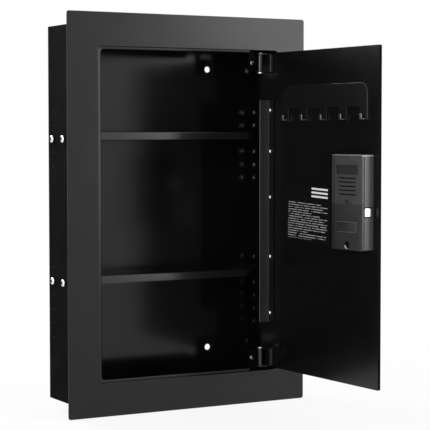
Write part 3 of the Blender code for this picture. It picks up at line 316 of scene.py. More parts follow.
@dataclass(frozen=True)
class Finish:
    """A surface finish: its name, colour and roughness, and how both vary over a piece.

    The tones and sheens are the shares of the colour and the roughness at the ends of
    their ranges, and each relief is a scale, a detail and a depth, from the lowest up.
    """

    name: str
    colour: Point
    roughness: float
    tones: Corner = (0.85, 1.15)
    sheens: Corner = (0.9, 1.1)
    cloud: float = 7.0
    sheen_cloud: float = 21.0
    sheen_detail: float = 3.0
    stretch: Point = (1.0, 1.0, 1.0)

    @property
    def sockets(self) -> dict[str, float]:
        """The shader's plain values."""
        return {"IOR": 1.5}

    @property
    def reliefs(self) -> tuple[Point, ...]:
        """Scale, detail and depth of each relief."""
        return ()

    def material(self) -> Material:
        """The finish's material, made once."""
        known = bpy.data.materials.get(self.name)
        return known if known is not None else self.mixed()

    def mixed(self) -> Material:
        """A clouded colour, an uneven gloss and the reliefs over one another.

        Returns:
            The material.
        """
        recipe = Recipe(self.name)
        recipe.plain(**self.sockets)
        dark, pale = (tint(self.colour, share) for share in self.tones)
        tone = recipe.spread(recipe.noise(self.cloud, stretch=self.stretch), 0.0, 1.0)
        recipe.paint(recipe.blend(tone, dark, pale), "Base Color")
        self.sheen(recipe)
        normal = None
        for scale, detail, depth in self.reliefs:
            normal = recipe.relief(recipe.noise(scale, detail, self.stretch), depth, normal)
        if normal is not None:
            recipe.paint(normal, "Normal")
        return recipe.material

    def sheen(self, recipe: Recipe) -> None:
        """Vary the roughness between its two shares.

        Args:
            recipe: the finish's nodes.
        """
        low, high = (self.roughness * share for share in self.sheens)
        recipe.paint(
            recipe.spread(recipe.noise(self.sheen_cloud, self.sheen_detail), low, high), "Roughness")


@dataclass(frozen=True)
class PowderCoat(Finish):
    """Powder coat: cloudy near-black with an orange peel and a fine grain over it."""

    shine: float = 0.36
    peel: float = 520.0
    peel_depth: float = 0.000016
    sheen_detail: float = 5.0

    @property
    def sockets(self) -> dict[str, float]:
        """The coat's plain values."""
        return {"IOR": 1.5, "Specular_IOR_Level": self.shine}

    @property
    def reliefs(self) -> tuple[Point, ...]:
        """Orange peel with a fine grain."""
        return ((self.peel, 1.0, self.peel_depth), (2600.0, 2.0, 0.000003))


@dataclass(frozen=True)
class MouldedPlastic(Finish):
    """Injection-moulded plastic: an even colour, a dull sheen and an eroded tool texture."""

    tones: Corner = (0.92, 1.08)
    sheens: Corner = (0.92, 1.08)
    cloud: float = 60.0
    sheen_cloud: float = 180.0
    sheen_detail: float = 4.0
    shine: float = 0.5
    texture: float = 2200.0

    @property
    def sockets(self) -> dict[str, float]:
        """The plastic's plain values."""
        return {"IOR": 1.49, "Specular_IOR_Level": self.shine}

    @property
    def reliefs(self) -> tuple[Point, ...]:
        """The tool's fine texture."""
        return ((self.texture, 2.0, 0.000014),)


@dataclass(frozen=True)
class PlatedSteel(Finish):
    """Plated or bare metal with fine lines drawn along its grain."""

    tones: Corner = (0.9, 1.0)
    sheens: Corner = (0.8, 1.25)
    cloud: float = 2400.0
    sheen_cloud: float = 300.0
    sheen_detail: float = 4.0
    stretch: Point = (1.0, 1.0, 0.06)

    @property
    def sockets(self) -> dict[str, float]:
        """The metal's plain values."""
        return {"Metallic": 1.0}

    @property
    def reliefs(self) -> tuple[Point, ...]:
        """The drawn lines."""
        return ((self.cloud, 3.0, 0.000003),)


@dataclass(frozen=True)
class RuledFilm(Finish):
    """Label film with ruled blank lines of uneven length, drawn on the piece's own UV map."""

    shine: float = 0.3
    ink: Point = (0.33, 0.33, 0.33)
    bar_ink: Point = (0.80, 0.80, 0.80)
    lines: float = 24.0
    line_share: float = 0.35
    line_start: float = 0.05
    line_ends: Corner = (0.50, 0.95)
    line_levels: Corner = (0.05, 0.70)
    long_lines: float = 0.6
    dashes: float = 46.0
    gap_share: float = 0.18
    bars: float = 15.0
    bar_share: float = 0.5
    bar_span: Corner = (0.58, 0.95)
    bar_levels: Corner = (0.795, 0.97)
    sheen_cloud: float = 400.0

    def mixed(self) -> Material:
        """Black film with fine rules below and three plain bars in its upper corner.

        Returns:
            The film's material.
        """
        recipe = Recipe(self.name)
        recipe.plain(IOR=1.5, Specular_IOR_Level=self.shine)
        split = recipe.tree.nodes.new("ShaderNodeSeparateXYZ")
        recipe.link(recipe.coords.outputs["UV"], split.inputs["Vector"])
        across, up = split.outputs["X"], split.outputs["Y"]
        ruled = recipe.blend(self.rules(recipe, across, up), self.colour, self.ink)
        barred = recipe.blend(self.plain_bars(recipe, across, up), ruled, self.bar_ink)
        recipe.paint(barred, "Base Color")
        self.sheen(recipe)
        return recipe.material

    def rules(self, recipe: Recipe, across: Socket, up: Socket) -> Socket:
        """Mask of the fine rules, each of its own length and broken into dashes.

        Args:
            recipe: the film's nodes.
            across: place across the film.
            up: place up the film.

        Returns:
            The mask's socket.
        """
        tree = recipe.tree
        level = reckoned(tree, Sum.TIMES, up, self.lines)
        row = reckoned(tree, Sum.WHOLE, level)
        chance = recipe.chance("1D", row, "W")
        end = recipe.spread(chance, *self.line_ends, 0.0, self.long_lines)
        cell = tree.nodes.new("ShaderNodeCombineXYZ")
        dash = reckoned(tree, Sum.WHOLE, reckoned(tree, Sum.TIMES, across, self.dashes))
        recipe.link(dash, cell.inputs["X"])
        recipe.link(row, cell.inputs["Y"])
        gap = recipe.chance("2D", cell.outputs["Vector"], "Vector")
        return overlap(
            tree, reckoned(tree, Sum.BELOW, reckoned(tree, Sum.REST, level), self.line_share),
            reckoned(tree, Sum.BELOW, across, end), reckoned(tree, Sum.ABOVE, gap, self.gap_share),
            reckoned(tree, Sum.ABOVE, across, self.line_start), within(tree, up, self.line_levels))

    def plain_bars(self, recipe: Recipe, across: Socket, up: Socket) -> Socket:
        """Mask of the plain bars.

        Args:
            recipe: the film's nodes.
            across: place across the film.
            up: place up the film.

        Returns:
            The mask's socket.
        """
        tree = recipe.tree
        rest = reckoned(tree, Sum.REST, reckoned(tree, Sum.TIMES, up, self.bars))
        return overlap(tree, reckoned(tree, Sum.BELOW, rest, self.bar_share),
                       within(tree, up, self.bar_levels), within(tree, across, self.bar_span))


@dataclass(frozen=True)
class Lens(Finish):
    """Small tinted lens of an indicator lamp, of glossy plastic that lets a little light through."""

    tones: Corner = (0.85, 1.0)
    sheens: Corner = (1.0, 1.3)
    cloud: float = 900.0
    sheen_cloud: float = 700.0

    @property
    def sockets(self) -> dict[str, float]:
        """The lens's plain values."""
        return {"IOR": 1.5, "Transmission_Weight": 0.25}


PAINT = PowderCoat("black_powder_coat", (0.0024, 0.0024, 0.0026), 0.22, shine=0.34, peel_depth=0.00002)
INNER_PAINT = PowderCoat(
    "black_powder_coat_inside", (0.0046, 0.0046, 0.0048), 0.155, shine=0.33, peel=1100.0,
    peel_depth=0.000009)
SHELF_PAINT = PowderCoat("black_powder_coat_shelves", (0.0040, 0.0040, 0.0042), 0.24, shine=0.62)
DOOR_PAINT = PowderCoat("black_powder_coat_door", (0.0040, 0.0040, 0.0042), 0.24, shine=0.30)
RACK_PAINT = PowderCoat("black_powder_coat_rack", (0.0062, 0.0062, 0.0065), 0.30, shine=0.40)
# Painted highlight: lighter steel on the key rack's top and outer edges.
EDGE_HIGHLIGHT_STEEL = PlatedSteel("painted_highlight_sheet_edge", (0.22, 0.22, 0.23), 0.36)
# Painted highlight: bright steel on the rack's hooks and tooth bottoms and on the hinge leaf's edge.
BRIGHT_HIGHLIGHT_STEEL = PlatedSteel("painted_bright_highlight_edge", (0.46, 0.46, 0.47), 0.30)
HINGE_PAINT = PowderCoat("dull_powder_coat_hinge", (0.0016, 0.0016, 0.0017), 0.50, shine=0.05)
OUTER_PAINT = PowderCoat("matt_powder_coat_outside", (0.0027, 0.0027, 0.0029), 0.76, shine=0.02)
SATIN_PAINT = PowderCoat("satin_black_paint", (0.0120, 0.0120, 0.0124), 0.48, shine=0.6)
# Painted highlight: lighter paint along the top edge of the door's bar.
HIGHLIGHT_PAINT = PowderCoat("painted_highlight_paint_edge", (0.14, 0.14, 0.142), 0.42, shine=0.5)
PLASTIC = MouldedPlastic("black_moulded_plastic", (0.014, 0.014, 0.015), 0.43, shine=0.9)
COVER_PLASTIC = MouldedPlastic("battery_cover_plastic", (0.036, 0.036, 0.037), 0.43, shine=0.9)
# Painted light: lighter plastic on the lock case's free side, which faces the light.
LIT_SIDE_PLASTIC = MouldedPlastic("painted_lit_side_plastic", (0.060, 0.060, 0.062), 0.48, shine=0.8)
# Painted highlight: pale plastic on the lock's edges that face up.
HIGHLIGHT_PLASTIC = MouldedPlastic("painted_highlight_plastic_edge", (0.50, 0.50, 0.51), 0.30, shine=1.0)
# Painted highlight: lighter plastic on the lips of the cover's slots and recess.
LIP_HIGHLIGHT_PLASTIC = MouldedPlastic("painted_lip_highlight_plastic", (0.14, 0.14, 0.144), 0.32, shine=1.0)
# Painted shade: near-black plastic in the lock's grooves, slots and screw well.
SHADE_PLASTIC = MouldedPlastic("painted_groove_shade_plastic", (0.0045, 0.0045, 0.0048), 0.55, shine=0.2)
# Painted shade: darker plastic on the floors of the cover's recess and thumb notch.
FLOOR_SHADE_PLASTIC = MouldedPlastic("painted_floor_shade_plastic", (0.019, 0.019, 0.020), 0.42, texture=1200.0)
PAD_PLASTIC = MouldedPlastic("keypad_plastic", (0.010, 0.010, 0.011), 0.34)
CHROME = PlatedSteel("bright_chrome", (0.86, 0.86, 0.88), 0.13)
BLACKED = PlatedSteel("blacked_steel", (0.26, 0.26, 0.27), 0.20)
# Painted shade: dark steel inside the screws' recesses.
RECESS_SHADE_STEEL = PlatedSteel("recess_shadow_steel", (0.020, 0.020, 0.021), 0.45)
NICKEL = PlatedSteel("brushed_nickel", (0.72, 0.71, 0.69), 0.27)
ZINC = PlatedSteel("zinc_plate", (0.62, 0.63, 0.65), 0.30)
BRASS = PlatedSteel("contact_brass", (0.80, 0.62, 0.28), 0.28)
SPRING_STEEL = PlatedSteel("spring_steel", (0.70, 0.70, 0.72), 0.22)
FILM = RuledFilm("ruled_label_film", (0.005, 0.005, 0.0054), 0.26)
RUBBER = MouldedPlastic("key_rubber", (0.30, 0.31, 0.32), 0.62, texture=1500.0)
INK = MouldedPlastic("printed_marks", (0.030, 0.030, 0.032), 0.55)
LAMINATE = MouldedPlastic("circuit_laminate", (0.015, 0.14, 0.05), 0.40, texture=900.0)
RESIN = MouldedPlastic("chip_resin", (0.012, 0.012, 0.012), 0.55)
SLEEVE = MouldedPlastic("cell_sleeve", (0.045, 0.075, 0.19), 0.28, texture=600.0)
BAND = MouldedPlastic("cell_band", (0.55, 0.56, 0.57), 0.30, texture=600.0)
GREEN_LENS = Lens("green_lens", (0.05, 0.42, 0.10), 0.16)
AMBER_LENS = Lens("amber_lens", (0.72, 0.36, 0.03), 0.16)
RED_LENS = Lens("red_lens", (0.55, 0.03, 0.02), 0.16)


# ---- Shaping


def plate_into(
        shape: BMesh, plane: Plane, corners: Sequence[Corner], low: float, high: float) -> list[BMVert]:
    """Add a flat plate.

    Args:
        shape: mesh it is added to.
        plane: plane of its outline.
        corners: the outline's corners.
        low: where it starts along the thickness axis.
        high: where it ends.

    Returns:
        Its vertices.
    """
    base = [shape.verts.new(plane.point(across, up, low)) for across, up in corners]
    face = shape.faces.new(base)
    grown = bmesh.ops.extrude_face_region(shape, geom=[face])["geom"]
    far = [item for item in grown if isinstance(item, BMVert)]
    bmesh.ops.translate(shape, verts=far, vec=plane.point(0.0, 0.0, high - low))
    return base + far


def edges_along(
        shape: BMesh, axis: int, where: Callable[[Vector], bool] = lambda _: True) -> list[BMEdge]:
    """Edges that run along an axis.

    Args:
        shape: mesh that holds them.
        axis: the axis.
        where: test of an edge's middle, every edge where it is left out.

    Returns:
        The edges that pass the test.
    """
    found = []
    for edge in shape.edges:
        first, second = (vert.co for vert in edge.verts)
        run = second - first
        straight = run.length > MERGE and abs(run[axis]) > 0.999 * run.length
        if straight and where((first + second) / 2):
            found.append(edge)
    return found


def edges_past(shape: BMesh, axis: int, level: float, sign: int = 1) -> list[BMEdge]:
    """Edges wholly at a level along an axis or past it: above it, or below it where sign is -1."""
    return [edge for edge in shape.edges
            if all(sign * (vert.co[axis] - level) > -MERGE for vert in edge.verts)]


def round_edges(shape: BMesh, edges: Iterable[BMEdge], radius: float, segments: int = 6) -> None:
    """Round edges to a radius.

    Args:
        shape: mesh that holds them.
        edges: the edges.
        radius: their radius.
        segments: steps of the round.
    """
    bmesh.ops.bevel(
        shape, geom=list(edges), offset=radius, offset_type="OFFSET", segments=segments, profile=0.5,
        affect="EDGES", clamp_overlap=True, material=-1)


def rounded_plate(low: Corner, high: Corner, depth: Corner, radius: float, segments: int = 6) -> BMesh:
    """An upright plate with round corners.

    Args:
        low: its lower corner, across and up.
        high: its upper corner.
        depth: where it starts and ends in depth.
        radius: radius of its corners.
        segments: steps in each corner.

    Returns:
        Its mesh.
    """
    shape = bmesh.new()
    plate_into(shape, Plane.XZ, [low, (high[0], low[1]), high, (low[0], high[1])], *depth)
    round_edges(shape, edges_along(shape, 1), radius, segments)
    return shape


def pad(centre: Corner, size: Corner, depth: Corner, radius: float, segments: int = 6) -> BMesh:
    """An upright plate with round corners, from its centre and its size."""
    (x, z), width, height = centre, size[0] / 2, size[1] / 2
    return rounded_plate((x - width, z - height), (x + width, z + height), depth, radius, segments)


def turned(profile: Sequence[Corner], steps: int = 40) -> BMesh:
    """A solid turned about Z.

    Args:
        profile: pairs of radius and height.
        steps: sides.

    Returns:
        Its mesh.
    """
    shape = bmesh.new()
    chain = [shape.verts.new((radius, 0.0, height)) for radius, height in profile]
    edges = [shape.edges.new(pair) for pair in zip(chain, chain[1:])]
    bmesh.ops.spin(
        shape, geom=chain + edges, cent=(0, 0, 0), axis=(0, 0, 1), angle=math.tau, steps=steps,
        use_merge=True)
    bmesh.ops.remove_doubles(shape, verts=shape.verts, dist=MERGE)
    bmesh.ops.recalc_face_normals(shape, faces=shape.faces)
    return shape


def block(low: Point, high: Point) -> BMesh:
    """One block as a mesh of its own.

    Args:
        low: its lower corner.
        high: its upper corner.

    Returns:
        Its mesh.
    """
    size = Vector(high) - Vector(low)
    middle = (Vector(high) + Vector(low)) / 2
    shape = bmesh.new()
    bmesh.ops.create_cube(
        shape, size=1.0, matrix=Matrix.Translation(middle) @ Matrix.Diagonal(size.to_4d()))
    bmesh.ops.recalc_face_normals(shape, faces=shape.faces)
    return shape


def drum(start: Point, end: Point, radius: float, end_radius: float | None = None,
         segments: int = 32) -> BMesh:
    """One cylinder or cone as a mesh of its own.

    Args:
        start: centre of its first end.
        end: centre of its other end.
        radius: radius at the first end.
        end_radius: radius at the other end, the same where it is left out.
        segments: sides.

    Returns:
        Its mesh.
    """
    along = Vector(end) - Vector(start)
    turn = along.to_track_quat("Z", "Y").to_matrix().to_4x4()
    place = Matrix.Translation((Vector(start) + Vector(end)) / 2) @ turn
    far = radius if end_radius is None else end_radius
    shape = bmesh.new()
    bmesh.ops.create_cone(
        shape, cap_ends=True, segments=segments, radius1=radius, radius2=far, depth=along.length,
        matrix=place)
    bmesh.ops.recalc_face_normals(shape, faces=shape.faces)
    return shape


def rod(centre: Corner, depth: Corner, radius: float, end_radius: float | None = None,
        segments: int = 32) -> BMesh:
    """A drum whose axis runs in depth, from its centre across and up."""
    (x, z), (start, end) = centre, depth
    return drum((x, start, z), (x, end, z), radius, end_radius, segments)


def as_object(shape: BMesh, name: str) -> Object:
    """An object that takes a mesh over.

    Args:
        shape: the mesh, which is used up.
        name: the object's name.

    Returns:
        The object.
    """
    bmesh.ops.recalc_face_normals(shape, faces=shape.faces)
    mesh = bpy.data.meshes.new(name)
    shape.to_mesh(mesh)
    shape.free()
    obj = bpy.data.objects.new(name, mesh)
    bpy.context.scene.collection.objects.link(obj)
    return obj


def evaluated(source: Object) -> BMesh:
    """The shape that an object has after its modifiers.

    Args:
        source: the object.

    Returns:
        Its mesh.
    """
    bpy.context.view_layer.update()
    final = source.evaluated_get(bpy.context.evaluated_depsgraph_get())
    mesh = bpy.data.meshes.new_from_object(final)
    shape = bmesh.new()
    shape.from_mesh(mesh)
    bpy.data.meshes.remove(mesh)
    return shape


def filled(curve: Curve) -> BMesh:
    """The shape of a filled outline or a number.

    Args:
        curve: the curve, which is used up.

    Returns:
        Its mesh.
    """
    holder = bpy.data.objects.new(curve.name, curve)
    bpy.context.scene.collection.objects.link(holder)
    shape = evaluated(holder)
    bpy.data.objects.remove(holder, do_unlink=True)
    bpy.data.curves.remove(curve)
    return shape


def in_order(shape: BMesh) -> BMesh:
    """The same mesh with its corners and faces in order of place, as a boolean's order varies.

    Args:
        shape: mesh that is sorted and used up.

    Returns:
        The sorted mesh.
    """
    corners = sorted(
        (vert for vert in shape.verts if vert.link_faces), key=lambda vert: vert.co.to_tuple())
    ranks = {vert: rank for rank, vert in enumerate(corners)}
    rings = []
    for face in shape.faces:
        ring = [ranks[vert] for vert in face.verts]
        first = ring.index(min(ring))
        rings.append(ring[first:] + ring[:first])
    result = bmesh.new()
    placed = [result.verts.new(vert.co) for vert in corners]
    for ring in sorted(rings):
        result.faces.new([placed[rank] for rank in ring])
    shape.free()
    result.normal_update()
    return result


def worked(shape: BMesh, joins: Sequence[BMesh] = (), cuts: Sequence[BMesh] = ()) -> BMesh:
    """Join solids to a solid and cut others from it.

    Args:
        shape: solid that is worked on.
        joins: solids that are joined to it.
        cuts: solids that are cut away, after the joins.

    Returns:
        The worked solid.
    """
    base = as_object(shape, "blank")
    tools = []
    for operation, group in (("UNION", joins), ("DIFFERENCE", cuts)):
        for tool_shape in group:
            tool = as_object(tool_shape, "tool")
            step = base.modifiers.new(operation, "BOOLEAN")
            step.operation = operation
            step.solver = "EXACT"
            step.object = tool
            tools.append(tool)
    result = evaluated(base)
    for used in [base, *tools]:
        data = used.data
        bpy.data.objects.remove(used, do_unlink=True)
        bpy.data.meshes.remove(data)
    result = in_order(result)
    bmesh.ops.remove_doubles(result, verts=result.verts, dist=MERGE)
    result = in_order(result)
    bmesh.ops.dissolve_limit(result, angle_limit=FLAT, verts=result.verts, edges=result.edges)
    return in_order(result)


def circle_points(centre: Corner, radius: float, sides: int) -> list[Corner]:
    """Points round a circle."""
    turns = [i * (math.tau / sides) for i in range(sides)]
    return [(centre[0] + radius * math.cos(t), centre[1] + radius * math.sin(t)) for t in turns]


def punched(plane: Plane, outline: Sequence[Corner], holes: Sequence[tuple[Corner, float]],
            depth: Corner, sides: int = 24) -> BMesh:
    """A flat sheet with round holes, filled from its outlines.

    Args:
        plane: plane of the outline.
        outline: corners of the sheet.
        holes: centre and radius of each hole.
        depth: where the sheet starts and ends along its thickness axis.
        sides: sides of each hole.

    Returns:
        The sheet's mesh.
    """
    low, high = depth
    curve = bpy.data.curves.new("outline", "CURVE")
    curve.dimensions = "2D"
    curve.fill_mode = "BOTH"
    curve.extrude = (high - low) / 2
    rings = [list(outline)] + [circle_points(centre, radius, sides) for centre, radius in holes]
    for ring in rings:
        spline = curve.splines.new("POLY")
        spline.points.add(len(ring) - 1)
        for point, (across, up) in zip(spline.points, ring):
            point.co = (across, up, 0.0, 1.0)
        spline.use_cyclic_u = True
    shape = filled(curve)
    middle = (low + high) / 2
    for vert in shape.verts:
        vert.co = plane.point(vert.co.x, vert.co.y, middle + vert.co.z)
    bmesh.ops.remove_doubles(shape, verts=shape.verts, dist=MERGE)
    bmesh.ops.dissolve_limit(shape, angle_limit=FLAT, verts=shape.verts, edges=shape.edges)
    bmesh.ops.recalc_face_normals(shape, faces=shape.faces)
    return shape


def dome(radius: float, height: float, rim: float, steps: int = 8,
         seat_share: float = 0.97) -> list[Corner]:
    """Profile of a domed head from its crown down to its seat at height zero.

    Args:
        radius: radius of the head.
        height: height of the crown.
        rim: height of the straight rim below the dome.
        steps: steps of the dome.
        seat_share: share of the radius that the head has at its seat.

    Returns:
        Pairs of radius and height.
    """
    points = []
    for i in range(steps + 1):
        angle = math.pi / 2 * (1 - i / steps)
        points.append((radius * math.cos(angle), rim + (height - rim) * math.sin(angle)))
    return points + [(radius * seat_share, 0.0)]


def threaded(radius: float, top: float, length: float, pitch: float, depth: float,
             tip_share: float = 0.75) -> list[Corner]:
    """Profile of a threaded shank, from its top down to its point.

    Args:
        radius: outer radius of the thread.
        top: height where it starts.
        length: length of the shank.
        pitch: height of each turn.
        depth: depth of the thread.
        tip_share: share of the radius that the point has.

    Returns:
        Pairs of radius and height.
    """
    points = [(radius, top)]
    for i in range(int((length - pitch) / pitch)):
        level = top - pitch * (i + 0.5)
        points += [(radius, level), (radius - depth, level - pitch / 2)]
    return points + [(radius * tip_share, top - length), (0.0, top - length)]


@dataclass
class Screw:
    """A domed screw with a cross recess; its seat is at height zero and its head points along Z.

    The fields that end in share are parts of the head's radius or height, or of the
    shank's radius for the thread.
    """

    head_radius: float
    head_height: float
    shank_radius: float
    length: float
    recess_share: float = 0.62
    throat_share: float = 0.50
    rim_share: float = 0.28
    floor_share: float = 0.36
    slot_share: float = 0.15
    cutter_share: float = 1.3
    neck_share: float = 0.1
    pitch_share: float = 0.45
    thread_share: float = 0.14
    margin_share: float = 0.05

    @property
    def floor(self) -> float:
        """Height of the recess's floor."""
        return self.head_height * self.floor_share

    def shape(self) -> BMesh:
        """Turn the screw and cut its recess.

        Returns:
            Its mesh.
        """
        profile = dome(self.head_radius, self.head_height, self.head_height * self.rim_share)
        profile += [(self.shank_radius, 0.0)]
        profile += threaded(
            self.shank_radius, -self.head_height * self.neck_share, self.length,
            self.shank_radius * self.pitch_share, self.shank_radius * self.thread_share)
        reach = self.head_radius * self.recess_share
        width = self.head_radius * self.slot_share
        top = self.head_height * self.cutter_share
        cuts = [block((-x, -y, self.floor), (x, y, top)) for x, y in ((reach, width), (width, reach))]
        cuts.append(
            drum((0, 0, self.floor), (0, 0, top), width, self.head_radius * self.throat_share, 24))
        return worked(turned(profile), cuts=cuts)

    def in_recess(self, point: Vector) -> bool:
        """Whether a point of the screw's own space is below the dome and above the recess's floor.

        Args:
            point: the point.

        Returns:
            True in the recess.
        """
        rim = self.head_height * self.rim_share
        share = min(1.0, math.hypot(point.x, point.y) / self.head_radius)
        crown = rim + (self.head_height - rim) * math.sqrt(1.0 - share * share)
        margin = self.head_height * self.margin_share
        return share < self.recess_share and self.floor - MERGE < point.z < crown - margin

    def placed(self, seat: Point, outward: Point, twist: float = 0.0) -> Matrix:
        """The transform that sets the screw on its seat with its head outward."""
        turn = Vector(outward).to_track_quat("Z", "Y").to_matrix().to_4x4()
        return Matrix.Translation(seat) @ turn @ Matrix.Rotation(math.radians(twist), 4, "Z")


@dataclass
class Assembly:
    """A sub-assembly: it finishes its pieces and reports them."""

    made: list[str] = field(default_factory=list, init=False)

    def keep(self, shape: BMesh, name: str, body: Body | str, finish: Finish,
             stands_for: Sequence[str] = (), place: Matrix | None = None, edge: float = 0.0,
             slot: str | None = None, uv_plane: tuple[Vector, Vector, Vector] | None = None) -> Object:
        """Turn a mesh into a finished piece.

        Args:
            shape: the piece's mesh.
            name: the piece's name.
            body: body it rides on.
            finish: its finish.
            stands_for: CAD nodes that it replaces.
            place: transform to its place.
            edge: width of the bevel along its sharp edges.
            slot: not used.
            uv_plane: lower corner and the two sides of a flat UV map.

        Returns:
            The piece.
        """
        if uv_plane is not None:
            self.lay_map(shape, *uv_plane)
        bmesh.ops.transform(shape, matrix=place or Matrix.Identity(4), verts=shape.verts)
        piece = as_object(shape, name)
        piece.data.materials.append(finish.material())
        piece.data.shade_smooth()
        if edge > 0.0:
            bevel = piece.modifiers.new("Soft edges", "BEVEL")
            bevel.width = edge
            bevel.segments = 2
            bevel.limit_method = "ANGLE"
            bevel.angle_limit = SHARP
            bevel.harden_normals = True
        else:
            piece.data.set_sharp_from_angle(angle=SHARP)
        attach(piece, body.value if isinstance(body, Body) else body)
        if stands_for:
            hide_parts(*stands_for)
        self.made.append(name)
        log.info("%s rides on %s", name, body)
        return piece

    def keep_screw(self, screw: Screw, name: str, body: Body, place: Matrix, finish: Finish) -> None:
        """Turn a screw into a finished piece that replaces the node of its name.

        Args:
            screw: the screw.
            name: the node's name.
            body: body it rides on.
            place: transform to its place.
            finish: its finish.
        """
        piece = self.keep(screw.shape(), f"{name}_headed", body, finish, [name], place)
        back = place.inverted()
        # Painted shade inside the screw's recess.
        self.dress(piece, RECESS_SHADE_STEEL, lambda middle, _: screw.in_recess(back @ middle))

    @staticmethod
    def dress(piece: Object, finish: Finish, where: Test) -> None:
        """Give some of a piece's faces another finish.

        Args:
            piece: the piece.
            finish: finish of the faces that are chosen.
            where: test of a face's middle and its normal.
        """
        piece.data.materials.append(finish.material())
        index = len(piece.data.materials) - 1
        for face in piece.data.polygons:
            if where(face.center, face.normal):
                face.material_index = index

    @staticmethod
    def lay_map(shape: BMesh, corner: Vector, across: Vector, up: Vector) -> None:
        """Give a mesh a flat UV map that runs from zero to one along two sides.

        Args:
            shape: the mesh.
            corner: the corner where the map is zero.
            across: side along which its first number runs.
            up: side along which its second number runs.
        """
        layer = shape.loops.layers.uv.new("flat")
        for face in shape.faces:
            for loop in face.loops:
                offset = loop.vert.co - corner
                loop[layer].uv = (
                    offset.dot(across) / across.length_squared, offset.dot(up) / up.length_squared)

    def build(self) -> None:
        """Build every piece of the sub-assembly."""
        raise NotImplementedError


# ---- Casing


@dataclass
class Casing(Assembly):
    """The sheet panels behind the trim frame."""

    width: float = 0.348
    height: float = 0.528
    sheet: float = 0.0015
    shelf_hole: float = 0.0027
    rows: int = 6
    rows_above: tuple[int, int] = (2, 1)
    pitch: float = 0.020
    stud_hole: float = 0.003
    stud_level: float = 0.209
    stud_backset: float = 0.0385
    back_hole: float = 0.0045
    back_hole_place: Corner = (0.083, 0.2085)
    front_seam: float = 0.0023
    edge: float = 0.00025

    def side_holes(self) -> list[tuple[Corner, float]]:
        """Centre and radius of each hole in a side panel.

        Returns:
            The shelf holes, then the two stud holes.
        """
        levels = [level + self.pitch * (above - row)
                  for level, above in zip(SHELF_LEVELS, self.rows_above) for row in range(self.rows)]
        holes = [
            ((FRONT + column, level), self.shelf_hole) for column in HOLE_COLUMNS for level in levels]
        return holes + [((-self.stud_backset, level), self.stud_hole)
                        for level in (self.stud_level, -self.stud_level)]

    def build(self) -> None:
        """Two punched sides, the two ends and the punched back."""
        front, back = FRONT + self.front_seam, -self.sheet - SEAM
        side, top = self.width / 2, self.height / 2
        outline = [(front, -top), (back, -top), (back, top), (front, top)]
        for name, depth, away in (
                ("left_side", (-side, -side + self.sheet), -1),
                ("right_side", (side - self.sheet, side), 1)):
            sheet = punched(Plane.YZ, outline, self.side_holes(), depth)
            self.keep_panel(sheet, name, (away, 0, 0))
        across = side - self.sheet - SEAM
        for name, low, high, away in (
                ("top", top - self.sheet, top, 1), ("bottom", -top, -top + self.sheet, -1)):
            self.keep_panel(block((-across, front, low), (across, back, high)), name, (0, 0, away))
        x, z = self.back_hole_place
        outline = [(-side, -top), (side, -top), (side, top), (-side, top)]
        holes = [((x, z), self.back_hole), ((x, -z), self.back_hole)]
        sheet = punched(Plane.XZ, outline, holes, (-self.sheet, 0.0), 40)
        self.keep_panel(sheet, "back", (0, 1, 0))

    def keep_panel(self, sheet: BMesh, name: str, outward: Point) -> None:
        """Finish a panel, with dull paint on the face that looks out of the casing.

        Args:
            sheet: the panel's mesh.
            name: the panel's name.
            outward: direction that its outer face looks in.
        """
        away = Vector(outward)
        piece = self.keep(
            sheet, f"{name}_sheet", Body.CASING, INNER_PAINT, [f"{name}_panel"], edge=self.edge)
        self.dress(piece, OUTER_PAINT, lambda _, normal: normal.dot(away) > 0.5)


@dataclass
class TrimFrame(Assembly):
    """The flat frame round the opening."""

    width: float = 0.380
    height: float = 0.560
    thickness: float = 0.002
    opening: Corner = (0.289, 0.466)
    corner: float = 0.0036
    inner_corner: float = 0.0046
    edge: float = 0.0008

    def build(self) -> None:
        """A plate with its opening cut out and its edges softened."""
        plate = pad((0.0, 0.0), (self.width, self.height), (FRONT, FRONT + self.thickness), self.corner)
        hole = pad((0.0, 0.0), self.opening, (FRONT - PAST, FRONT + PAST), self.inner_corner)
        self.keep(worked(plate, cuts=[hole]), "trim_frame_sheet", Body.CASING, PAINT, ["trim_frame"],
                  edge=self.edge)


@dataclass
class DoorStop(Assembly):
    """The rebated strip that the shut door lands on."""

    left: float = -0.1480
    right: float = 0.100
    top: float = 0.2365
    inner_left: float = -0.1370
    inner_top: float = 0.2290
    rebate_left: float = -0.1445
    rebate_top: float = 0.2330
    front: float = 0.0023
    rebate: float = 0.0043
    back: float = 0.0058
    corner: float = 0.0042
    bend: float = 0.0013
    edge: float = 0.0005

    def build(self) -> None:
        """A three-sided strip: two depths of plate, round inner corners, a bent inner edge."""
        plate = block(
            (self.left, FRONT + self.front, -self.top), (self.right, FRONT + self.back, self.top))
        window = rounded_plate(
            (self.inner_left, -self.inner_top), (self.right + 2 * PAST, self.inner_top),
            (FRONT - PAST, FRONT + 2 * PAST), self.corner)
        rebate = block((self.rebate_left, FRONT, -self.rebate_top),
                       (self.right + PAST, FRONT + self.rebate, self.rebate_top))
        strip = worked(plate, cuts=[window, rebate])
        level = FRONT + self.rebate
        inner = [edge for edge in strip.edges if edge.calc_face_angle(0.0) > SQUARE
                 and all(abs(vert.co.y - level) < MERGE and vert.co.x > self.inner_left - MERGE
                         and abs(vert.co.z) < self.inner_top + MERGE for vert in edge.verts)]
        round_edges(strip, inner, self.bend, 5)
        piece = self.keep(
            strip, "door_stop_strip", Body.CASING, PAINT, ["door_stop_frame"], edge=self.edge)
        self.dress(piece, OUTER_PAINT, lambda _, normal: 0.15 < normal.x < 0.99 and normal.y < -0.1)


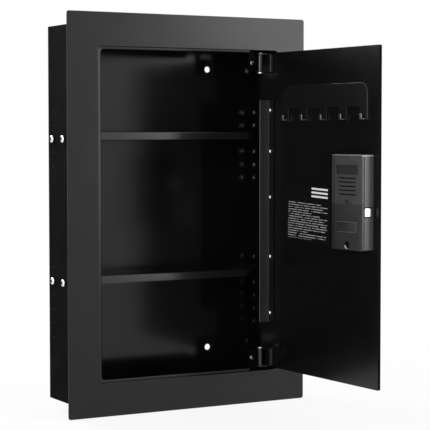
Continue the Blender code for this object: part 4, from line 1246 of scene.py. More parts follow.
@dataclass
class Shelf(Assembly):
    """A folded tray shelf."""

    name: str = "upper_shelf"
    top: float = 0.1155
    half_width: float = 0.1722
    front: float = 0.023
    back: float = -0.0018
    notch_left: float = 0.1078
    notch_depth: float = 0.021
    sheet: float = 0.0015
    lip: float = 0.011
    side_drop: float = 0.017
    hole_drop: float = 0.010
    hole: float = 0.0027
    drill: float = 0.2
    bend: float = 0.0016
    edge: float = 0.0003

    def plan(self, inset: float) -> list[Corner]:
        """The shelf's plan, notched at its front where the door's hinges swing.

        Args:
            inset: distance that it is drawn in by.

        Returns:
            The plan's corners.
        """
        side = self.half_width - inset
        front = FRONT + self.front + inset
        notch = FRONT + self.front + self.notch_depth + inset
        left = self.notch_left - inset
        back = self.back - inset
        return [
            (-side, front), (left, front), (left, notch), (side, notch), (side, back), (-side, back)]

    def build(self) -> None:
        """A tray with bent edges, hollow below, and screw holes in its side flanges."""
        tray = bmesh.new()
        plate_into(tray, Plane.XY, self.plan(0.0), self.top - self.side_drop, self.top)
        round_edges(tray, edges_past(tray, 2, self.top) + edges_along(tray, 2), self.bend, 4)
        hollow = bmesh.new()
        deep = self.top - self.side_drop - PAST
        plate_into(hollow, Plane.XY, self.plan(self.sheet), deep, self.top - self.sheet)
        inner = self.half_width - self.sheet
        below = block((-inner, FRONT, deep), (inner, PAST, self.top - self.lip))
        level = self.top - self.hole_drop
        drills = [drum((-self.drill, FRONT + column, level), (self.drill, FRONT + column, level),
                       self.hole, segments=24) for column in HOLE_COLUMNS]
        self.keep(worked(tray, cuts=[hollow, below, *drills]), f"{self.name}_tray", Body.CASING,
                  SHELF_PAINT, [self.name], edge=self.edge)


@dataclass
class ShelfScrews(Assembly):
    """Bright domed screws through the side panels into the shelves."""

    seat: float = 0.1743
    first_twist: float = 12.0
    twist_step: float = 31.0
    screw: Screw = field(
        default_factory=lambda: Screw(0.0052, 0.0042, 0.0022, 0.0061, throat_share=0.62))

    def build(self) -> None:
        """One screw at each end of each shelf, front and back."""
        twist = self.first_twist
        for shelf, level in zip(("upper", "lower"), SHELF_LEVELS):
            for side, sign in (("left", -1), ("right", 1)):
                for row, column in zip(("front", "back"), HOLE_COLUMNS):
                    place = self.screw.placed(
                        (sign * self.seat, FRONT + column, level), (sign, 0, 0), twist)
                    node = f"{shelf}_shelf_screw_{side}_{row}"
                    self.keep_screw(self.screw, node, Body.CASING, place, CHROME)
                    twist += self.twist_step


# ---- Hinges


@dataclass
class Hinge(Assembly):
    """One hinge: bracket with knuckle, pin, screw and the door's channel leaf."""

    name: str = "upper"
    level: float = 0.216
    sign: int = 1
    half: float = 0.0135
    sheet: float = 0.0015
    gap: float = 0.0003
    pin: float = 0.0020
    pin_head: float = 0.0045
    pin_head_height: float = 0.0018
    pin_head_shares: Corner = (0.96, 0.88)
    pin_head_rounds: Corner = (0.0002, 0.0005)
    pin_tip: float = 0.0020
    peen: float = 0.0031
    peen_rim: float = 0.0004
    knuckle: float = 0.0042
    bore_cutter: float = 0.03
    ear: float = 0.0065
    leaf_reach: float = 0.0105
    leaf_tail: float = 0.0125
    leaf_corner: float = 0.0025
    side_gap: float = 0.0080
    width: float = 0.0105
    plate: float = 0.0020
    hanger_corner: float = 0.003
    foot: float = 0.024
    end: float = 0.2622
    edge: float = 0.0003
    leaf_edge: float = 0.0006
    screw_twist: float = 20.0
    screw: Screw = field(
        default_factory=lambda: Screw(0.0036, 0.0026, 0.0016, 0.0042, recess_share=0.72))

    def build(self) -> None:
        """Build the four pieces of the hinge."""
        self.build_bracket()
        self.build_pin()
        self.build_leaf()

    def build_bracket(self) -> None:
        """Hanging plate with its foot, arm and knuckle, and the screw through it."""
        x, y = PIVOT[0], PIVOT[1]
        back = y + self.knuckle
        front = back - self.plate
        right = x - self.side_gap
        left = right - self.width
        middle = (left + right) / 2
        reach = self.half - self.sheet - self.gap
        end, free = self.sign * self.end, self.level - self.sign * reach
        low, high = min(end, free), max(end, free)
        hanger = bmesh.new()
        plate_into(
            hanger, Plane.XZ, [(left, low), (right, low), (right, high), (left, high)], front, back)
        corner = edges_along(hanger, 1, lambda m: abs(m.z - free) < MERGE and m.x < right - MERGE)
        round_edges(hanger, corner, self.hanger_corner)
        foot_low, foot_high = sorted((end, self.sign * (self.end - self.plate)))
        foot = block((left, front, foot_low), (right, front + self.foot, foot_high))
        arm = block((right - self.plate, front, self.level - reach), (x, back, self.level + reach))
        roll = drum((x, y, self.level - reach), (x, y, self.level + reach), self.knuckle, segments=40)
        bore = drum((x, y, self.level - self.bore_cutter), (x, y, self.level + self.bore_cutter),
                    self.pin + self.gap, segments=40)
        hole = rod(
            (middle, self.level), (front - PAST, back + PAST), self.screw.shank_radius + self.gap)
        solid = worked(hanger, joins=[foot, arm, roll], cuts=[bore, hole])
        piece = self.keep(
            solid, f"{self.name}_hinge_hanger", Body.CASING, HINGE_PAINT,
            [f"{self.name}_hinge_bracket"], edge=self.edge)
        self.dress(piece, SHELF_PAINT, lambda place, _: math.hypot(place.x - x, place.y - y)
                   < self.knuckle + self.gap)
        seat = (middle, front - self.gap, self.level)
        self.keep_screw(self.screw, f"{self.name}_hinge_screw", Body.CASING,
                        self.screw.placed(seat, (0, -1, 0), self.screw_twist), BLACKED)

    def build_pin(self) -> None:
        """Bright pin with a flat head below and a peened end above; the lower one is turned over."""
        collar = self.half + self.gap
        r, head = self.pin, self.pin_head
        low = -collar - self.pin_head_height
        seat_share, end_share = self.pin_head_shares
        seat_round, end_round = self.pin_head_rounds
        peen = dome(self.peen, self.pin_tip - self.gap, self.peen_rim)[:-1]
        profile = [(radius, collar + rise) for radius, rise in peen]
        profile += [
            (self.peen, collar), (r, collar), (r, -collar), (head * seat_share, -collar),
            (head, -collar - seat_round), (head, low + end_round), (head * end_share, low), (0.0, low)]
        flip = Matrix.Identity(4) if self.sign > 0 else Matrix.Rotation(math.pi, 4, "X")
        place = Matrix.Translation((PIVOT[0], PIVOT[1], self.level)) @ flip
        self.keep(turned(profile, 48), f"{self.name}_hinge_pin_turned", Body.CASING, CHROME,
                  [f"{self.name}_hinge_pin"], place)

    def build_leaf(self) -> None:
        """Channel leaf on the door: a base and two ears with round ends."""
        base = INNER_FACE + SEAM
        low, high = self.level - self.half, self.level + self.half
        solid = rounded_plate(
            (-self.leaf_reach, low), (self.leaf_tail, high), (base, base + self.sheet),
            self.leaf_corner)
        root = base + self.sheet / 2
        ears = []
        for start in (low, high - self.sheet):
            ear = bmesh.new()
            plate_into(ear, Plane.XY, [(-self.ear, root), (self.ear, root), (self.ear, self.ear),
                                       (-self.ear, self.ear)], start, start + self.sheet)
            round_edges(ear, edges_along(ear, 2, lambda m: m.y > 0), self.ear * 0.999, 10)
            ears.append(ear)
        bore = drum((0, 0, low - PAST), (0, 0, high + PAST), self.pin + self.gap, segments=40)
        piece = self.keep(
            worked(solid, joins=ears, cuts=[bore]), f"{self.name}_hinge_channel", Body.DOOR, RACK_PAINT,
            [f"{self.name}_hinge_leaf"], DOOR_PLACE, edge=self.leaf_edge)
        # Painted highlight along the leaf's edge towards the door's free side.
        self.dress(piece, BRIGHT_HIGHLIGHT_STEEL, lambda middle, normal: normal.y < -0.5
                   and (TO_DOOR @ middle).x < -self.ear - self.sheet)


# ---- Door


@dataclass
class Door(Assembly):
    """The door's plate with its bar, bar screws and label."""

    width: float = 0.285
    half_height: float = 0.2305
    corner: float = 0.002
    roll: float = 0.0017
    edge: float = 0.0003
    key_hole: float = 0.0052
    bar_corner: float = -0.0072
    bar_foot: float = 0.012
    bar_height: float = 0.017
    bar_sheet: float = 0.0015
    bar_ends: Corner = (-0.1635, 0.1615)
    bar_bend: float = 0.0016
    bar_inner_bend: float = 0.00064
    bar_margin: float = 0.00016
    bar_edge: float = 0.0004
    bar_screw_inset: float = 0.0036
    bar_screw_shares: tuple[float, ...] = (0.9554, 0.7708, 0.5646, 0.2969, 0.0415)
    bar_screw_twist: float = 37.0
    bar_screw: Screw = field(default_factory=lambda: Screw(0.0030, 0.0024, 0.0014, 0.0044))
    label_low: Corner = (-0.1575, -0.041)
    label_size: Corner = (0.106, 0.081)
    label_corner: float = 0.004
    label_thickness: float = 0.0004
    label_slant: float = -2.1
    label_edge: float = 0.00012

    def build(self) -> None:
        """Plate, bar, screws and label."""
        self.build_sheet()
        self.build_bar()
        self.build_label()

    def build_sheet(self) -> None:
        """Plate with rolled edges and the key's hole."""
        plate = rounded_plate(
            (FREE_EDGE, -self.half_height), (FREE_EDGE + self.width, self.half_height),
            (OUTER_FACE, INNER_FACE), self.corner)
        hole = rod(KEY_PLACE, (OUTER_FACE - PAST, INNER_FACE + PAST), self.key_hole, segments=40)
        sheet = worked(plate, cuts=[hole])
        rim = [edge for edge in sheet.edges if edge.is_manifold and edge.calc_face_angle(0.0) > SQUARE
               and math.dist(KEY_PLACE, edge.verts[0].co.xz) > self.key_hole * 2]
        round_edges(sheet, rim, self.roll, 5)
        piece = self.keep(
            sheet, "door_sheet", Body.DOOR, DOOR_PAINT, ["door_panel"], DOOR_PLACE, edge=self.edge)
        self.dress(piece, OUTER_PAINT, lambda _, normal: abs(normal.x) < 0.8)

    def build_bar(self) -> None:
        """Bent angle bar with five screws."""
        corner, sheet = self.bar_corner, self.bar_sheet
        base, top = INNER_FACE + SEAM, INNER_FACE + self.bar_height
        foot = corner - self.bar_foot
        bar = bmesh.new()
        plate_into(
            bar, Plane.XY,
            [(foot, base), (corner + sheet, base), (corner + sheet, top), (corner, top),
             (corner, base + sheet), (foot, base + sheet)], *self.bar_ends)
        outer = edges_along(bar, 2, lambda m: m.x > corner + sheet / 2 and m.y < base + sheet / 2)
        round_edges(bar, outer, self.bar_bend, 5)
        inner = edges_along(
            bar, 2, lambda m: abs(m.x - corner) < MERGE and abs(m.y - base - sheet) < MERGE)
        round_edges(bar, inner, self.bar_inner_bend, 3)
        x = corner - self.bar_screw_inset
        low, high = self.bar_ends
        levels = [low + share * (high - low) for share in self.bar_screw_shares]
        holes = [rod((x, level), (base - PAST, base + PAST), self.bar_screw.shank_radius + SEAM)
                 for level in levels]
        piece = self.keep(
            worked(bar, cuts=holes), "anti_pry_angle", Body.DOOR, SATIN_PAINT, ["anti_pry_bar"],
            DOOR_PLACE, edge=self.bar_edge)
        self.dress(piece, DOOR_PAINT, lambda middle, _: (TO_DOOR @ middle).x < corner - self.bar_margin)
        # Painted highlight along the bar's top edge.
        self.dress(piece, HIGHLIGHT_PAINT, lambda middle, _: (TO_DOOR @ middle).y > top - MERGE)
        for number, level in enumerate(levels, start=1):
            place = DOOR_PLACE @ self.bar_screw.placed(
                (x, base + sheet + SEAM, level), (0, 1, 0), self.bar_screw_twist * number)
            self.keep_screw(self.bar_screw, f"bar_screw_{number}", Body.DOOR, place, CHROME)

    def build_label(self) -> None:
        """Thin film with round corners, ruled with blank lines."""
        low = self.label_low
        high = (low[0] + self.label_size[0], low[1] + self.label_size[1])
        base = INNER_FACE + SEAM
        film = rounded_plate(low, high, (base, base + self.label_thickness), self.label_corner)
        corner = Vector((high[0], base, low[1]))
        plane = (corner, Vector((-self.label_size[0], 0, 0)), Vector((0, 0, self.label_size[1])))
        middle = Vector(((low[0] + high[0]) / 2, 0.0, (low[1] + high[1]) / 2))
        slant = (Matrix.Translation(middle) @ Matrix.Rotation(math.radians(self.label_slant), 4, "Y")
                 @ Matrix.Translation(-middle))
        self.keep(film, "ruled_label", Body.DOOR, FILM, ["plain_label"], DOOR_PLACE @ slant,
                  edge=self.label_edge, uv_plane=plane)


@dataclass
class KeyRack(Assembly):
    """Comb of sheet steel with turned-up hooks."""

    left: float = -0.2438
    length: float = 0.2028
    top: float = 0.1815
    bar_height: float = 0.0325
    height: float = 0.050
    sheet: float = 0.0015
    corner: float = 0.014
    tooth: float = 0.017
    teeth: int = 5
    fillet: float = 0.002
    hook_width: float = 0.005
    hook_gap: float = 0.0038
    hook_rise: float = 0.0085
    hook_bend: float = 0.0018
    hook_inner_bend: float = 0.0008
    edge: float = 0.00045

    def build(self) -> None:
        """Comb with round upper corners and filleted notches, with a bent hook on each tooth."""
        base = INNER_FACE + SEAM
        right = self.left + self.length
        step = (self.length - self.tooth) / (self.teeth - 1)
        notch = self.top - self.bar_height
        foot = self.top - self.height + self.sheet / 2
        outline: list[Corner] = [(right, self.top), (self.left, self.top)]
        for number in range(self.teeth):
            start = self.left + number * step
            outline += [(start, foot), (start + self.tooth, foot)]
            if number < self.teeth - 1:
                outline += [(start + self.tooth, notch), (start + step, notch)]
        comb = bmesh.new()
        plate_into(comb, Plane.XZ, outline, base, base + self.sheet)
        for level, radius, segments in ((self.top, self.corner, 10), (notch, self.fillet, 4)):
            corners = edges_along(comb, 1, lambda m, at=level: abs(m.z - at) < MERGE)
            round_edges(comb, corners, radius, segments)
        hooks = [
            self.hook(self.left + self.tooth / 2 + number * step, base) for number in range(self.teeth)]
        piece = self.keep(
            worked(comb, joins=hooks), "key_rack_comb", Body.DOOR, RACK_PAINT, ["key_rack"], DOOR_PLACE,
            edge=self.edge)
        low = self.top - self.height + self.sheet
        # Painted highlights on the comb's top edge and its outer end.
        self.dress(
            piece, EDGE_HIGHLIGHT_STEEL, lambda middle, normal: abs(normal.x) < 0.6
            and (middle.z > self.top - self.corner or (TO_DOOR @ middle).x < self.left + self.corner))
        # Painted highlights on the hooks and the teeth's lower ends.
        self.dress(piece, BRIGHT_HIGHLIGHT_STEEL, lambda middle, _: middle.z < low
                   or (TO_DOOR @ middle).y > base + self.sheet * 1.2)

    def hook(self, centre: float, base: float) -> BMesh:
        """One hook, bent out and up from its tooth.

        Args:
            centre: middle of the hook along the rack.
            base: back face of the sheet.

        Returns:
            The hook's mesh.
        """
        foot = self.top - self.height
        crook = foot + self.sheet
        root = base + self.sheet / 3
        near = base + self.sheet + self.hook_gap
        far = near + self.sheet
        tip = foot + self.hook_rise
        shape = bmesh.new()
        plate_into(
            shape, Plane.YZ,
            [(root, foot), (far, foot), (far, tip), (near, tip), (near, crook), (root, crook)],
            centre - self.hook_width / 2, centre + self.hook_width / 2)
        outer = edges_along(shape, 0, lambda m: m.y > far - MERGE and m.z < foot + MERGE)
        round_edges(shape, outer, self.hook_bend, 5)
        inner = edges_along(shape, 0, lambda m: abs(m.y - near) < MERGE and abs(m.z - crook) < MERGE)
        round_edges(shape, inner, self.hook_inner_bend, 3)
        round_edges(shape, edges_along(shape, 1, lambda m: m.z > tip - MERGE), self.hook_bend, 5)
        return shape


# ---- Lock


@dataclass
class LockCase(Assembly):
    """Lock case on the door's inner face with its screw, battery cover and bolt."""

    left: float = -0.2567
    width: float = 0.0697
    bottom: float = -0.044
    height: float = 0.1285
    depth: float = 0.0185
    wall: float = 0.002
    corner: float = 0.0025
    rim: float = 0.0011
    edge: float = 0.0003
    parting: float = 0.0009
    groove: float = 0.0046
    groove_width: float = 0.0012
    groove_depth: float = 0.0012
    panel: Corner = (0.043, 0.0142)
    panel_level: float = -0.0128
    panel_rise: float = 0.0008
    panel_corner: float = 0.0008
    gate: Corner = (-0.0187, 0.0060)
    gate_radius: float = 0.0016
    gate_depth: float = 0.0004
    screw_level: float = -0.037
    screw_twist: float = 25.0
    screw: Screw = field(
        default_factory=lambda: Screw(0.0030, 0.0020, 0.0014, 0.0086, recess_share=0.7))
    well: float = 0.0046
    well_floor: float = 0.0060
    post_wall: float = 0.0014
    funnel: Point = (0.0016, 0.0011, 0.0004)
    overrun: float = 0.002
    split: float = 0.0191
    cover: float = 0.002
    cover_edge: float = 0.00028
    bay_step: float = 0.002
    shoulder: float = 0.0013
    recess: Corner = (0.047, 0.0125)
    recess_level: float = 0.0643
    recess_depth: float = 0.0012
    recess_corner: float = 0.0010
    slot: Corner = (0.0385, 0.0018)
    slots: int = 5
    slot_level: float = 0.0420
    slot_pitch: float = 0.0055
    slot_depth: float = 0.0017
    slot_corner: float = 0.00081
    slot_lip: float = 0.0006
    thumb: Corner = (0.0052, 0.0009)
    tongue: Point = (0.006, 0.0012, 0.010)
    mouth_depth: float = 0.004
    mouth_rim: Corner = (0.0009, 0.0006)
    sliding_gap: float = 0.0004
    bolt_level: float = 0.0078
    bolt_half_height: float = 0.0057
    bolt_back: float = 0.0036
    bolt_thickness: float = 0.0116
    bolt_length: float = 0.0220
    bolt_proud: float = 0.0010
    bolt_corner: float = 0.0008
    bolt_nose: float = 0.0005
    bolt_edge: float = 0.00015
    slide_back: float = 0.0112
    slide_thickness: float = 0.0020
    slide_drop: float = 0.0227
    slide_lap: float = 0.002
    slide_margin: float = 0.0055
    slot_half: float = 0.0023
    slot_span: Corner = (-0.002, 0.006)
    slot_foot: float = -0.05
    cam_offset: float = 0.00799
    cam_rise: float = 0.0113
    paint_inset: float = 0.0003
    shade_depth: float = 0.0150
    highlight_slopes: Corner = (0.2, 0.995)

    @property
    def right(self) -> float:
        """The case's edge towards the hinges."""
        return self.left + self.width

    @property
    def top(self) -> float:
        """The case's upper end."""
        return self.bottom + self.height

    @property
    def centre(self) -> float:
        """The middle of the case's width."""
        return self.left + self.width / 2

    @property
    def slot_levels(self) -> list[float]:
        """The middle level of each grip slot, from the lowest up."""
        return [self.slot_level + self.slot_pitch * (slot - (self.slots - 1) / 2)
                for slot in range(self.slots)]

    def at(self, height: float) -> float:
        """Depth coordinate of a point that stands off the door's inner face."""
        return INNER_FACE + height

    def build(self) -> None:
        """Case, screw, cover and bolt."""
        self.build_case()
        self.build_cover()
        self.build_bolt()

    def build_case(self) -> None:
        """Moulded case with its raised panel and its screw."""
        shell = worked(self.outer_shell(), cuts=self.shell_cuts())
        front_lip = edges_along(
            shell, 0, lambda m: abs(m.z - self.split + SEAM) < MERGE
            and m.y > self.at(self.depth) - MERGE)
        round_edges(shell, front_lip, self.shoulder, 3)
        x, z = self.centre, self.screw_level
        inside, outside = self.at(self.depth - self.wall / 2), self.at(self.depth + self.panel_rise)
        raised = pad((x, self.panel_level), self.panel, (inside, outside), self.panel_corner, 3)
        round_edges(raised, edges_past(raised, 1, outside), self.panel_rise * 0.7, 3)
        post = rod((x, z), (self.at(SEAM), inside), self.well + self.post_wall)
        past = self.at(self.depth + self.overrun)
        well = rod((x, z), (self.at(self.well_floor), past), self.well)
        funnel_depth, funnel_width, funnel_past = self.funnel
        funnel = rod((x, z), (self.at(self.depth - funnel_depth), self.at(self.depth + funnel_past)),
                     self.well, self.well + funnel_width)
        shank = rod((x, z), (self.at(-self.overrun), self.at(self.well_floor + self.overrun)),
                    self.screw.shank_radius + SEAM)
        gate = rod((x + self.gate[0], z + self.gate[1]), (self.at(self.depth - self.gate_depth), past),
                   self.gate_radius, segments=24)
        case = worked(shell, joins=[post, raised], cuts=[well, funnel, shank, gate])
        piece = self.keep(
            case, "lock_case_moulding", Body.DOOR, PLASTIC, ["lock_case"], DOOR_PLACE, edge=self.edge)
        self.paint_light_and_shade(piece)
        place = DOOR_PLACE @ self.screw.placed(
            (x, self.at(self.well_floor + SEAM), z), (0, 1, 0), self.screw_twist)
        self.keep_screw(self.screw, "lock_case_screw", Body.DOOR, place, ZINC)

    def outer_shell(self) -> BMesh:
        """The case's outer form, still solid, with its round edges.

        Returns:
            Its mesh.
        """
        solid = rounded_plate(
            (self.left, self.bottom), (self.right, self.top), (self.at(SEAM), self.at(self.depth)),
            self.corner)
        round_edges(solid, edges_past(solid, 1, self.at(self.depth)), self.rim, 4)
        return solid

    def shell_cuts(self) -> list[BMesh]:
        """Cutters of the hollow, the cover's rebate, the battery bay, the bolt's mouth and the lines.

        Returns:
            The cutters, in the order that they cut.
        """
        wall, past = self.wall, self.at(self.depth + PAST)
        seat = self.depth - self.cover - SEAM
        hollow = block((self.left + wall, self.at(-self.overrun), self.bottom + wall),
                       (self.right - wall, self.at(self.depth - wall), self.top - wall))
        rebate = block((self.left - PAST, self.at(seat), self.split - SEAM),
                       (self.right + PAST, past, self.top + PAST))
        bay = block((self.left + wall, self.at(seat - self.bay_step), self.split + wall),
                    (self.right - wall, past, self.top - wall))
        width, depth = self.mouth_rim
        mouth = self.mouth_cutter(self.sliding_gap, self.mouth_depth)
        lip = self.mouth_cutter(self.sliding_gap + width, depth)
        sides = ((self.left - PAST, self.left + self.parting),
                 (self.right - self.parting, self.right + PAST))
        partings = [block((low, self.at(seat - self.parting), self.bottom + self.corner),
                          (high, self.at(seat + SEAM), self.top - self.corner)) for low, high in sides]
        return [hollow, rebate, bay, mouth, lip, self.groove_cutter(), *partings]

    def mouth_cutter(self, gap: float, depth: float) -> BMesh:
        """Cutter of the bolt's mouth in the case's free side.

        Args:
            gap: gap that it leaves all round the bolt.
            depth: how far it reaches into the case.

        Returns:
            Its mesh.
        """
        reach = self.bolt_half_height + gap
        return block(
            (self.left - PAST, self.at(self.bolt_back - gap), self.bolt_level - reach),
            (self.left + depth, self.at(self.bolt_back + self.bolt_thickness + gap),
             self.bolt_level + reach))

    def groove_cutter(self) -> BMesh:
        """Cutter of the fine groove that runs up the front near the hinge side.

        Returns:
            Its mesh.
        """
        start = self.right - self.groove
        return block((start - self.groove_width, self.at(self.depth - self.groove_depth),
                      self.bottom - PAST), (start, self.at(self.depth + PAST), self.top + PAST))

    def paint_light_and_shade(self, piece: Object) -> None:
        """Painted shade in the grooves, slots and well, and painted light on the free side and upward
        edges.

        Args:
            piece: the case or its cover.
        """
        inset = self.paint_inset
        # Painted shade in the hollows.
        self.dress(piece, SHADE_PLASTIC, self.sunk)
        # Painted light on the case's free side.
        self.dress(piece, LIT_SIDE_PLASTIC, lambda middle, normal: normal.y < -0.9
                   and (TO_DOOR @ middle).x < self.left + inset)
        # Painted highlights on the edges that face up.
        self.dress(piece, HIGHLIGHT_PLASTIC, self.painted_highlight_face)
        # Painted highlights on the lips of the slots and the recess.
        self.dress(piece, LIP_HIGHLIGHT_PLASTIC, self.lip_highlight)

    def on_front(self, place: Vector) -> bool:
        """Whether a point lies in the round of the front's edges or before it."""
        return place.y > self.at(self.depth - self.rim * 1.1)

    def sunk(self, middle: Vector, _normal: Vector) -> bool:
        """Painted shade: behind the front and in from the outer sides, but not in the thumb notch.

        Args:
            middle: middle of the face.

        Returns:
            True for a face that takes the painted shade.
        """
        place, inset = TO_DOOR @ middle, self.paint_inset
        if max(abs(place.x - self.centre), abs(place.z - self.split)) < self.thumb[0]:
            return False
        return (self.at(self.depth - self.shade_depth) < place.y < self.at(self.depth - inset)
                and self.left + inset < place.x < self.right - inset
                and self.bottom + inset < place.z < self.top - inset)

    def upward(self, normal: Vector) -> bool:
        """Whether a face slopes up."""
        return self.highlight_slopes[0] < normal.z < self.highlight_slopes[1]

    def painted_highlight_face(self, middle: Vector, normal: Vector) -> bool:
        """Painted highlight where a face slopes up at the front, or at the upper corner of the free
        side.
        """
        corner = (TO_DOOR @ middle).x < self.left + self.corner and normal.z > 0.35
        return (self.on_front(TO_DOOR @ middle) or corner) and self.upward(normal)

    def lip_highlight(self, middle: Vector, normal: Vector) -> bool:
        """Painted highlight on an upper lip of the slots and the recess, or below the raised panel.

        Args:
            middle: middle of the face.
            normal: its normal.

        Returns:
            True for a face of a lip.
        """
        place = TO_DOOR @ middle
        if (not self.on_front(place) or abs(place.x - self.centre) > self.recess[0] / 2
            or place.z < self.panel_level - self.panel[1]):
            return False
        if abs(place.z - self.panel_level + self.panel[1] / 2) < self.panel_rise:
            return normal.z < -self.highlight_slopes[0]
        end = (place.z > self.top - self.rim * 2 or abs(place.z - self.split) < self.shoulder * 2)
        return self.upward(normal) and not end

    def build_cover(self) -> None:
        """Sliding battery cover with a thumb recess and five grip slots."""
        x = self.centre
        outer = self.at(self.depth)
        plate = bmesh.new()
        plate_into(
            plate, Plane.XZ,
            [(self.left, self.split), (self.right, self.split), (self.right, self.top),
             (self.left, self.top)], outer - self.cover, outer)
        round_edges(plate, edges_along(plate, 1, lambda m: m.z > self.top - MERGE), self.corner)
        foot = edges_past(plate, 2, self.split, -1)
        rim = [edge for edge in edges_past(plate, 1, outer) if edge not in foot]
        round_edges(plate, rim, self.rim, 4)
        cuts = [pad((x, self.recess_level), self.recess, (outer - self.recess_depth, outer + PAST),
                    self.recess_corner, 3)]
        cuts += [pad((x, level), self.slot, (outer - self.slot_depth, outer + PAST),
                     self.slot_corner, 4) for level in self.slot_levels]
        cuts.append(rod((x, self.split), (outer - self.thumb[1], outer + PAST), self.thumb[0]))
        cuts.append(self.groove_cutter())
        half, lap, rise = self.tongue
        foot_level = self.split + self.wall + self.sliding_gap
        tongue = block((x - half, outer - self.cover - lap, foot_level),
                       (x + half, outer - self.cover / 2, foot_level + rise))
        cover = worked(plate, joins=[tongue], cuts=cuts)
        lips = []
        for level in self.slot_levels:
            lips += edges_along(cover, 0, lambda m, at=level - self.slot[1] / 2:
                                abs(m.z - at) < MERGE and m.y > outer - MERGE)
        round_edges(cover, lips, self.slot_lip, 3)
        piece = self.keep(
            cover, "battery_cover_moulding", Body.COVER, COVER_PLASTIC, ["battery_cover"], DOOR_PLACE,
            edge=self.cover_edge)
        self.paint_light_and_shade(piece)
        # Painted shade on the floors of the recess and the thumb notch.
        self.dress(piece, FLOOR_SHADE_PLASTIC, self.sunk_floor)

    def sunk_floor(self, middle: Vector, normal: Vector) -> bool:
        """Painted shade on the floor of the cover's recess or of its thumb notch.

        Args:
            middle: middle of the face.
            normal: its normal.

        Returns:
            True for a face of a floor.
        """
        place = TO_DOOR @ middle
        recess = abs(place.z - self.recess_level) < self.recess[1] / 2
        notch = (abs(place.x - self.centre) < self.thumb[0] and place.z < self.split + self.thumb[0])
        deep = place.y < self.at(self.depth) - self.thumb[1] / 2
        return (recess or notch) and deep and normal.x < -0.9

    def build_bolt(self) -> None:
        """Nickel latch bolt with its slide plate and the slot for the cam's pin."""
        left = self.left - self.bolt_proud
        right = left + self.bolt_length
        front, back = self.at(self.bolt_back), self.at(self.bolt_back + self.bolt_thickness)
        low, high = self.bolt_level - self.bolt_half_height, self.bolt_level + self.bolt_half_height
        bolt = block((left, front, low), (right, back, high))
        round_edges(bolt, edges_along(bolt, 0), self.bolt_corner, 3)
        round_edges(bolt, edges_past(bolt, 0, left, -1), self.bolt_nose, 3)
        pin_x = self.centre + self.cam_offset
        plate = block(
            (right - self.slide_lap, self.at(self.slide_back), high - self.slide_drop),
            (pin_x + self.slot_half + self.slide_margin,
             self.at(self.slide_back + self.slide_thickness), high))
        start, end = (self.at(self.slide_back + span) for span in self.slot_span)
        slot = block((pin_x - self.slot_half, start, self.slot_foot),
                     (pin_x + self.slot_half, end, KEY_PLACE[1] + self.cam_rise + self.slot_half))
        piece = self.keep(
            worked(bolt, joins=[plate], cuts=[slot]), "latch_bolt_slide", Body.BOLT, NICKEL,
            ["latch_bolt"], DOOR_PLACE, edge=self.bolt_edge)
        piece.modifiers.new("Flat faces", "WEIGHTED_NORMAL")


